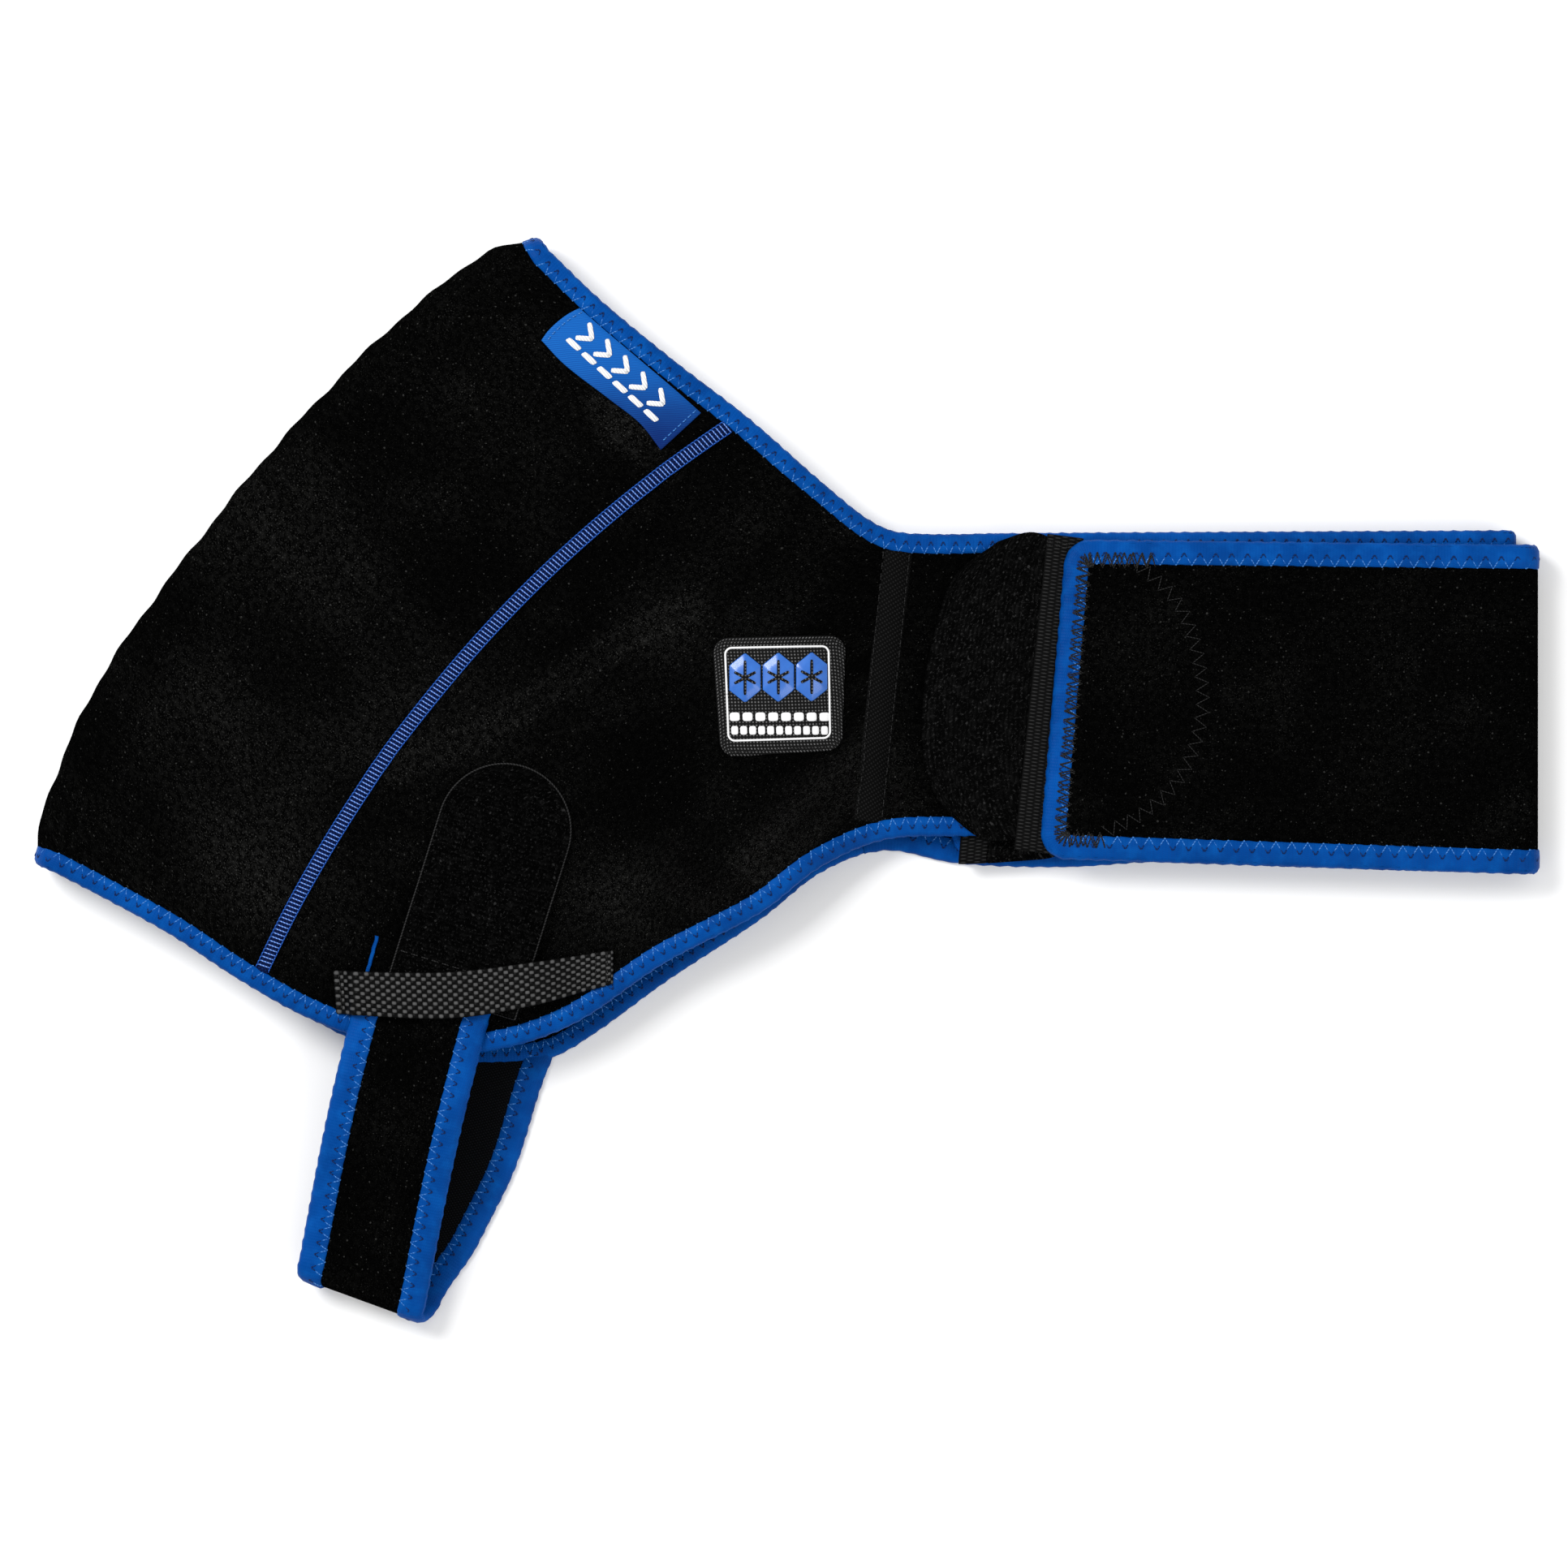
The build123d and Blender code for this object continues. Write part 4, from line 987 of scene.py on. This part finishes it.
label = {"top": [(-77.5, 186.6), (-30.5, 146.5)],
         "low": [(-94.5, 173.0), (-86, 164.0), (-68, 150.0), (-56, 140.5), (-48, 130.3)],
         "left": [(-77.5, 186.6), (-85, 182.6), (-91.5, 177.0), (-94.5, 173.0)],
         "right": [(-30.5, 146.5), (-48, 130.3)],
         "skin": 0.5}
labelFlat = coons(*[resample(smoothPath(label[key]), count) for key, count in (
    ("top", 64), ("low", 64), ("left", 30), ("right", 30))])
drop = np.linspace(0, 1, 30)[:, None]
labelRise = -0.55 + 0.85 * smoothStep(drop, 0.06, 0.2) + 0.35 * drop
labelGrid = lifted(labelFlat, onFront(0.0)) + np.stack([0 * labelRise, 0 * labelRise, labelRise], axis=-1)
wovenLabel = makeMesh("wovenLabel", [slab(labelGrid, label["skin"])], satin)
place(wovenLabel, "wrap", "label_satin", "woven_label")
labelRun, labelUp = unit(np.array([46.5, -42.7])), unit(np.array([42.7, 46.5]))
labelStart = np.array([-91.0, 174.2])
marks = []
for k in range(5):
    middle = labelStart + labelRun * (10 + 9.4 * k)
    for tilt in (38, -38):
        offset = labelUp * (10.4 + (1.9 if tilt < 0 else -1.9))
        marks.append(plate(bar(middle + offset, -42.6 + tilt, 6.8, 2.0, 0, 0.45, 20), 0.5, 1.0, 0.1))
for k in range(6):
    marks.append(plate(bar(labelStart + labelRun * (8.5 + 8.2 * k) + labelUp * 4.0, -42.6, 6.4, 2.3, 0.35,
                           0.4, 20),
                       0.6, 1.1, 0.1))
place(makeMesh("labelMarks", marks, whiteThread), "wrap", "label_satin")


def rowOfStitches(line, dash, gap, rise=0.18, radius=0.24):
    # a row of plain stitches along a line, standing up from it
    s = np.arange(0, runOf(line)[-1] - dash, dash + gap)
    return stitches(along(line, s), along(line, s + dash), np.tile([0.0, 0.0, 1.0], (len(s), 1)), rise,
                    radius)


labelEnds = [rowOfStitches(labelGrid[4:-1, k] + [0, 0, label["skin"] / 2], 1.7, 0.9, 0.16, 0.26)
             for k in (2, -3)]
place(makeMesh("labelStitches", labelEnds, blueThread), "wrap", "seam_thread")
print("badge and label made")


# Chest pads and their tapes

def flatPiece(name, flat, low, high, finish, waves=0.0):
    # a level piece between two heights, its faces waved a little
    x, y = flat[..., 0], flat[..., 1]
    middle = lifted(flat, (low + high) / 2)
    middle[..., 2] += waves * np.sin(x / 7 + np.sin(y / 9)) * np.sin(y / 8)
    return makeMesh(name, [slab(middle, high - low)], finish)


padLow, padTop = boxOf("chest_hook_field")[0][2], boxOf("chest_hook_pad")[1][2]
chest = {
    "oval": [(84, 94.7), (97, 98.4), (107, 95), (120, 89), (137.8, 84.8), (155.4, 68.2), (163.7, 32),
             (155.4, 3.5),
             (140.6, -11.2), (124, -17.9), (112, -20.5), (101.6, -20.8), (78.9, -21.4), (71.2, -17),
             (59.4, -4.2),
             (54.6, 14.4), (55.2, 37), (58.4, 55.7), (67, 81), (84, 94.7)],
    "corners": [(70, 85), (140, 83), (146, -6), (66, -12)], "hookSkin": 0.65,
    "hookOval": [(90, 92), (80, 89), (70, 77), (62, 54), (58.5, 15), (63, -2), (73, -13), (80, -17.5),
                 (86, -17.5)],
    "tape": [(103.2, 97.8), (117.2, 96.0), (104.2, -27.2), (90.2, -25.5)],
    "arc": [(132, 88.5), (137.8, 85.8), (155.4, 68.2), (163.7, 32), (155.4, 3.5), (140.6, -11.2),
            (124, -19.5)],
}
ovalLine = smoothPath(chest["oval"], 600)
ovalFlat = patchOf(ovalLine, chest["corners"], 70, 70)
free = 1 - smoothStep(ovalFlat[..., 0], 86, 97)
padMiddle = lifted(ovalFlat, (padLow + chest["hookSkin"] + padTop) / 2)
padMiddle[..., 2] += free * (0.3 + 0.12 * np.sin(ovalFlat[..., 0] / 5 + np.sin(ovalFlat[..., 1] / 6)))
chestPad = makeMesh("chestPad", [slab(padMiddle, 1.3 + 0.6 * free)], padPlush)
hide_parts("chest_hook_pad", "chest_pad_sewn")
peel = [j for j in frame["joints"] if j["name"] == "chest_pad_peel"][0]
peelAt, peelAxis = np.array(peel["pos_m"]), unit(np.array(peel["axis"]))
acrossPeel = np.array([peelAxis[1], -peelAxis[0], 0]) * 2.5 * mm
tuple(peelAt + acrossPeel)
tuple(peelAt - acrossPeel)
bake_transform(chestPad)
hookLine = smoothPath(chest["hookOval"], 300)
hookClosed = np.vstack([hookLine, resample(np.array([chest["hookOval"][-1], chest["hookOval"][0]], float),
                                           60)[1:]])
hookFlat = patchOf(hookClosed[::-1], [(70, 77), (90, 92), (86, -17.5), (65, -5)], 40, 24)
hookField = flatPiece("hookField", hookFlat, padLow, padLow + chest["hookSkin"], hooks)
place(hookField, "chest_pad", "hook_tape", "chest_hook_field")
tapeTl, tapeTr, tapeBr, tapeBl = np.array(chest["tape"])
tapeSides = [(tapeTl, tapeBl, 90), (tapeTr, tapeBr, 90), (tapeTl, tapeTr, 10), (tapeBl, tapeBr, 10)]
tapeFlat = coons(*[resample(np.stack([a, b]), n) for a, b, n in tapeSides])
chestTape = flatPiece("chestTape", tapeFlat, padTop + 0.05, padTop + 0.75, ribbedTape)
place(chestTape, "chest_strap", "ribbed_tape", "chest_pad_tape")


tapeRows = [rowOfStitches(lifted(tapeFlat[:, k][None], padTop + 0.78)[0], 2.4, 1.4) for k in (2, 3)]
place(makeMesh("chestTapeStitches", tapeRows, blackThread), "chest_strap", "seam_thread")


def flatEdge(points, z):
    # an edge that lies level, for stitches on a flat run
    line = np.column_stack([smoothPath(points, 200), np.full(200, z)])
    up = np.tile([0.0, 0.0, 1.0], (200, 1))
    return {"line": line, "normal": up, "inward": unit(np.cross(np.gradient(line, axis=0), up))}


arcEdge = flatEdge(chest["arc"], topMid)
endEdge = edgeOf(wrapGrid, wrapNormals, *gridPath(((lastRow, 7), (lastRow, 0)), ((lastRow, 0), (0, 0)),
                                                  ((0, 0), (0, 13))))
strapStitches = [(arcEdge, 5.6, -2.6, 2.6, 0.0, 0.2), (endEdge, 3.5, 3.6, 9.2, 0.62, 0.3),
                 (endEdge, 4.3, 4.2, 9.8, 0.7, 0.26)]
denseStitches = [part for edge, pitch, near, far, proud, radius in strapStitches
                 for part in zigzagParts(edge, pitch, near, far, proud, radius=radius)]
place(makeMesh("strapEndStitches", denseStitches, blackThread), "chest_strap", "seam_thread")

lower = {"low": boxOf("front_hook_pad")[0][2], "high": boxOf("front_hook_pad")[1][2],
         "pad": [(78, -31), (118, -28), (128, 84), (88, 86)],
         "tape": [(68.8, -31.2), (79.2, -30.8), (89.2, 86), (79, 86)]}
lowerPad = outlineOf(lower["pad"][::-1], [2, 30, 20, 2])
lowerFlat = patchOf(lowerPad, [(88, 85), (122, 76), (112, -26), (79, -30.5)], 50, 24)
frontPad = flatPiece("frontPad", lowerFlat, lower["low"] + 0.05, lower["high"] - 0.05, padPlush)
place(frontPad, "wrap", "brushed_pad", "front_hook_pad")
lifted(lowerFlat, lower["low"])
a, b, c, d = np.array(lower["tape"], float)
lowerTape = coons(*[resample(np.stack(side), n) for side,
                    n in (((a, d), 80), ((b, c), 80), ((a, b), 8), ((d, c), 8))])
place(flatPiece("frontPadTape", lowerTape, lower["low"], lower["high"], ribbedTape), "wrap", "ribbed_tape",
      "front_pad_tape")
print("pads made")


# Arm strap, its tab, and the webbing keeper

arm = {"foldRight": (-141.5, -203.8), "foldAngle": -20, "frontAngle": 77, "rearAngle": 63, "width": 50,
       "bend": 7.4,
       "rearLength": 118, "frontLength": 131, "climb": 80, "bow": 9.5, "tuckFrom": 105, "band": 8.9,
       "pinch": 7.5, "pinchOver": (19, 26)}
armTop = boxOf("arm_strap_front_leg")[1][2] - strapHalf


def armGrid(columns=(60, 14, 70), rows=25):
    # a strap laid from under the body, down to its bend and back up over the front
    angle = np.radians([arm["foldAngle"], arm["frontAngle"], arm["rearAngle"]])
    fold, up, down = [np.array([np.cos(t), np.sin(t)]) for t in angle]
    out = np.array([fold[1], -fold[0]])
    across = np.linspace(arm["width"], 0, rows)[:, None, None]
    start = np.array(arm["foldRight"]) - across * fold
    rho = np.linspace(arm["rearLength"], 0, columns[0])[None, :, None]
    bow = arm["bow"] * (0.62 + 0.38 * smoothStep(rho, 0, 22)) * (1 - smoothStep(rho, 45, 112))
    rear = start + down * rho + np.array([1.0, 0.3]) * bow
    rearZ = rearMid + 0 * rho[..., 0] + 0 * across[..., 0] - 0.75 * smoothStep(rho[..., 0],
                                                                               arm["tuckFrom"], 113)
    phi = np.linspace(0, np.pi, columns[1])[None, 1:-1, None]
    turn = start + out * arm["bend"] * np.sin(phi) + np.array([1.0, 0.3]) * arm["bow"] * 0.62 * (
        1 + np.cos(phi)) / 2
    turnZ = rearMid + arm["bend"] * (1 - np.cos(phi[..., 0])) + 0 * across[..., 0]
    rho = np.linspace(0, arm["frontLength"], columns[2])[None, :, None]
    sway = 1.6 * np.sin(rho * np.pi / arm["frontLength"]) * [-1.0, 0.0]
    front = start + up * rho + sway
    low = rearMid + 2 * arm["bend"]
    frontZ = low + (armTop - low) * smoothStep(rho[..., 0], 0, arm["climb"]) + 0 * across[..., 0]
    plan = np.concatenate([rear, turn, front], axis=1)
    return np.concatenate([plan, np.concatenate([rearZ, turnZ, frontZ], axis=1)[..., None]],
                          axis=-1), columns


strapGrid, strapColumns = armGrid()
strapNormals = gridNormals(strapGrid)
tucked = smoothStep(strapGrid[..., 2], 0.95, 1.6)
armCloth = makeMesh("armStrapCloth", [slab(strapGrid, 1.3 + 1.5 * tucked, strapNormals)], plush, brushedAndSheenAt)
place(armCloth, "wrap", "plush_neoprene", "arm_strap_rear_leg", "arm_strap_bend", "arm_strap_front_leg")
insideRows = slice(4, 21)
liningGrid = (strapGrid - strapNormals * (0.68 + 0.75 * tucked[..., None]))[insideRows, 1:strapColumns[0]
                                                                            + 40]
armLining = makeMesh("armStrapLining", [slab(liningGrid, 0.16)], jersey)
place(armLining, "wrap", "pocket_jersey")
armBands, armEdges = [], []
lastArm = strapGrid.shape[1] - 1
for stretch in (((0, 0), (0, lastArm)), ((24, lastArm), (24, 0))):
    edge = edgeOf(strapGrid, strapNormals, *gridPath(stretch))
    if stretch[0][0] == 0:
        keep = slice(5, None)
    else:
        keep = slice(None, -5)
    edge = {key: value[keep] for key, value in edge.items()}
    left = stretch[0][0] == 0
    ahead = runOf(edge["line"])[-1] - runOf(edge["line"])
    armBands.append(bindingPart(edge, arm["band"] - left * arm["pinch"]
                                * (1 - smoothStep(ahead, *arm["pinchOver"])), binding["bodyPitch"]))
    armEdges.append({key: value[:-13] if left else value for key, value in edge.items()})
place(makeMesh("armBinding", armBands, blueBinding), "wrap", "elastic_binding", "arm_rear_binding",
      "arm_bend_binding", "arm_front_binding")
for piece in twoTone("armZigzag", armEdges, binding["bodyPitch"], arm["band"]):
    place(piece, "wrap", "seam_thread")

tab = {
    "low": (-129.5, -84), "high": (-109, -18), "radius": 25.5, "flapSkin": 1.5, "sewnMid": 28.75,
    "flapMid": 25.6,
    "step": (-57, -35), "hookFrom": -31, "inset": 3.2, "hookSkin": 0.6,
}
tabLow, tabHigh = np.array(tab["low"], float), np.array(tab["high"], float)
tabUp = unit(tabHigh - tabLow)
tabAcross = np.array([tabUp[1], -tabUp[0]])


def tabOutline(radius, low):
    # straight sides and a round top: a half circle over two parallel lines
    turn = np.linspace(np.pi, 0, 60)[:, None]
    arc = tabHigh + radius * (np.cos(turn) * tabAcross + np.sin(turn) * tabUp)
    foot = tabLow if low is None else low
    left, right = foot - tabAcross * radius, foot + tabAcross * radius
    return resample(np.vstack([left, arc, right, left]), 500)[:-1]


def tabLevel(x, y):
    return tab["sewnMid"] + (tab["flapMid"] - tab["sewnMid"]) * smoothStep(y, *tab["step"]) \
        + 0.2 * np.sin(x / 6) * np.sin(y / 7) * smoothStep(y, -40, -25)


def tabPatch(radius, low, rows, columns):
    outline = tabOutline(radius, low)
    shoulder = tabHigh + tabUp * radius * 0.7
    foot = tabLow if low is None else low
    return patchOf(outline, [foot - tabAcross * radius, shoulder - tabAcross * radius * 0.7,
                             shoulder + tabAcross * radius * 0.7, foot + tabAcross * radius], rows, columns)


tabGrid = lifted(tabPatch(tab["radius"], None, 40, 70), tabLevel)
armTab = makeMesh("armTab", [slab(tabGrid, tab["flapSkin"])], tabPlush)
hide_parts("arm_tab_sewn", "arm_tab_flap")
rimLine = tabOutline(tab["radius"] + 0.35, None)[:470]
rimLine = lifted(rimLine[None], tabLevel)[0]
tabRim = makeMesh("armTabRim", [tube(rimLine, 0.42)], greyEdge)
hookBase = tabHigh + tabUp * (tab["hookFrom"] - tab["high"][1]) * 0.55
tabHookFlat = tabPatch(tab["radius"] - tab["inset"], hookBase, 26, 24)
hookTop = tab["flapMid"] - tab["flapSkin"] / 2
tabHooks = flatPiece("armTabHooks", tabHookFlat, hookTop - tab["hookSkin"], hookTop, hooks)
place(tabHooks, "arm_tab", "hook_tape", "arm_tab_hooks")
for piece in (armTab, tabRim):
    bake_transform(piece)
tabLine = np.array([(-149, -64.8, tab["sewnMid"] + 0.8), (-118, -74.5, tab["sewnMid"] + 0.8)])
place(makeMesh("armTabStitches", [rowOfStitches(tabLine, 2.6, 1.6)], greyEdge), "wrap", "seam_thread")

keeper = {
    "upper": [(-175.4, -72.9), (-129.6, -73.2), (-98, -69.5), (-66.9, -65.1)],
    "lower": [(-174.2, -89.3), (-129.7, -90.9), (-98, -86), (-66.9, -77.6)],
    "length": 108.6, "wide": 16.5, "columns": 330, "rows": 44, "tacks": (2.2, 6.6), "cell": (2.0, 1.5),
    "relief": 0.26, "skin": 1.15, "hem": 8, "left": (-172, -166), "right": (-98, -79),
}
bridge = boxOf("webbing_keeper")[1][2] - 0.75
upperLine, lowerLine = [resample(smoothPath(keeper[key], 300), keeper["columns"])
                        for key in ("upper", "lower")]
side = np.linspace(0, 1, keeper["rows"])[:, None]
keeperFlat = coons(upperLine, lowerLine, upperLine[0] * (1 - side) + lowerLine[0] * side,
                   upperLine[-1] * (1 - side) + lowerLine[-1] * side)
x = keeperFlat[..., 0]
keeperUv = np.stack(np.meshgrid(np.linspace(0, keeper["length"], keeper["columns"]),
                                np.linspace(0, keeper["wide"], keeper["rows"])), axis=-1)
over = smoothStep(x, *keeper["left"]) * (1 - smoothStep(x, *keeper["right"]))
foot = frontLevel(x, keeperFlat[..., 1]) + strapHalf + 0.65
weave = np.sin(keeperUv[..., 0] * np.pi / keeper["cell"][0]) * np.sin(keeperUv[..., 1] * np.pi
                                                                      / keeper["cell"][1])
z = foot + (bridge - foot) * over + keeper["relief"] * np.abs(weave) ** 0.6
hemmed = (keeperUv[..., 0] < keeper["hem"]) | (keeperUv[..., 0] > keeperUv[..., 0].max() - keeper["hem"])
webbingKeeper = makeMesh("webbingKeeper", [slab(np.concatenate([keeperFlat, z[..., None]], axis=-1),
                                                keeper["skin"] + 0.5 * hemmed, None, keeperUv)], webbing)
place(webbingKeeper, "wrap", "webbing", "webbing_keeper")
tacks = []
for at in keeper["tacks"]:
    for end in (0, 1):
        column = int(at / 108 * keeper["columns"])
        column = column if end == 0 else keeper["columns"] - 1 - column
        line = np.column_stack([keeperFlat[2:-2, column], foot[2:-2, column] + 1.0])
        tacks.append(rowOfStitches(line, 2.0, 1.0, 0.25, 0.28))
place(makeMesh("keeperStitches", tacks, blackThread), "wrap", "seam_thread")
print("arm strap made")


# Gel packs and their pockets, square to the neck edge

pack = {"length": 185, "width": 100, "corner": 14, "angle": 50.4, "neck": (-29, 155), "setback": 12,
        "shift": 14,
        "weld": 7, "weldSkin": 0.8, "full": 4.1}
neckOut = np.array([np.cos(np.radians(pack["angle"])), np.sin(np.radians(pack["angle"]))])
neckAlong = np.array([-neckOut[1], neckOut[0]])
mouth = np.array(pack["neck"]) + neckAlong * pack["shift"]


def pocketPlace(local):
    # from a pocket's own directions, out of the mouth and along the neck, to the plan
    return mouth + local[..., :1] * neckOut + local[..., 1:] * neckAlong


def gelPack(name, node, body):
    # a pillow: a welded flat rim round a swollen middle, with soft lumps
    low, high = boxOf(node)
    halfLong, halfWide = pack["length"] / 2, pack["width"] / 2
    corners = [(-halfLong, halfWide), (halfLong, halfWide), (halfLong, -halfWide), (-halfLong, -halfWide)]
    outline = outlineOf(corners, [pack["corner"]] * 4)
    flat = patchOf(outline, corners, 50, 90)
    toEdge = distanceTo(flat[..., 0], flat[..., 1], np.vstack([outline, outline[:1]]))
    swell = smoothStep(toEdge, pack["weld"] - 1, pack["weld"] + 11)
    lumps = 0.9 + 0.1 * np.sin(flat[..., 0] / 9 + np.sin(flat[..., 1] / 8)) * np.sin(flat[..., 1] / 11)
    plan = pocketPlace(flat - [pack["setback"] + halfLong, 0])
    thick = pack["weldSkin"] + (pack["full"] - pack["weldSkin"]) * swell * lumps
    piece = makeMesh(name, [slab(lifted(plan, (low[2] + high[2]) / 2), thick)], gelFilm)
    place(piece, body, "gel_film", node)


def pocketLiner(name, node, sewnTo, flatTo):
    # a thin sheet over the pack that comes down to its panel on three sides and stays open at the neck
    depth, half, drop = pack["length"] + 5, pack["width"] / 2 + 7, 6
    u, v = np.meshgrid(np.linspace(-depth - pack["setback"], -12.5, 80), np.linspace(half, -half, 50))
    toEdge = np.minimum(half - np.abs(v), u + depth + pack["setback"])
    z = sewnTo + (flatTo - sewnTo) * smoothStep(toEdge, 0, drop)
    grid = np.concatenate([pocketPlace(np.stack([u, v], axis=-1)), z[..., None]], axis=-1)
    piece = makeMesh(name, [slab(grid, 0.8)], jersey)
    place(piece, "wrap", "pocket_jersey", node)


gelPack("frontGelPack", "front_gel_pack", "front_pack")
gelPack("rearGelPack", "rear_gel_pack", "rear_pack")
pocketLiner("frontPocketLiner", "front_pocket_liner", boxOf("front_pocket_liner")[1][2] - 0.4,
            boxOf("front_pocket_liner")[0][2] + 0.4)
pocketLiner("rearPocketLiner", "rear_pocket_liner", 3.3, boxOf("rear_pocket_liner")[1][2] - 0.4)
print("packs and pockets made")


# Floor, light and camera

def stageSet():
    # a pale floor, one broad lamp from the upper left, a softer one opposite, and a bright surround
    floor = Finish("paleFloor", {"Roughness": 0.8, "Base Color": grey(0.93)})
    bpy.ops.mesh.primitive_plane_add(size=8)
    ground = bpy.context.object
    ground.name = "floor"
    ground.data.materials.append(floor.material)
    world = bpy.data.worlds.new("surround")
    bpy.context.scene.world = world
    world.use_nodes = True
    world.node_tree.nodes["Background"].inputs["Color"].default_value = (1, 1, 1, 1)
    world.node_tree.nodes["Background"].inputs["Strength"].default_value = 0.72
    for name, spot, size, power in (("key", (-1.1, 0.9, 1.5), 0.9, 34),
                                    ("fill", (1.3, -0.7, 1.6), 1.2, 12)):
        lamp = bpy.data.lights.new(name, "AREA")
        lamp.size, lamp.energy = size, power
        holder = bpy.data.objects.new(name, lamp)
        holder.location = spot
        direction = -holder.location
        holder.rotation_euler = direction.to_track_quat("-Z", "Y").to_euler()
        bpy.context.scene.collection.objects.link(holder)
    lens = bpy.data.cameras.new("camera")
    lens.sensor_width, lens.lens = 36, 36 * 2.2 / 0.6182
    camera = bpy.data.objects.new("camera", lens)
    camera.location = (0, 0, 2.2)
    bpy.context.scene.collection.objects.link(camera)
    bpy.context.scene.camera = camera
    bpy.context.scene.view_settings.view_transform = "Standard"


stageSet()
print("scene ready")
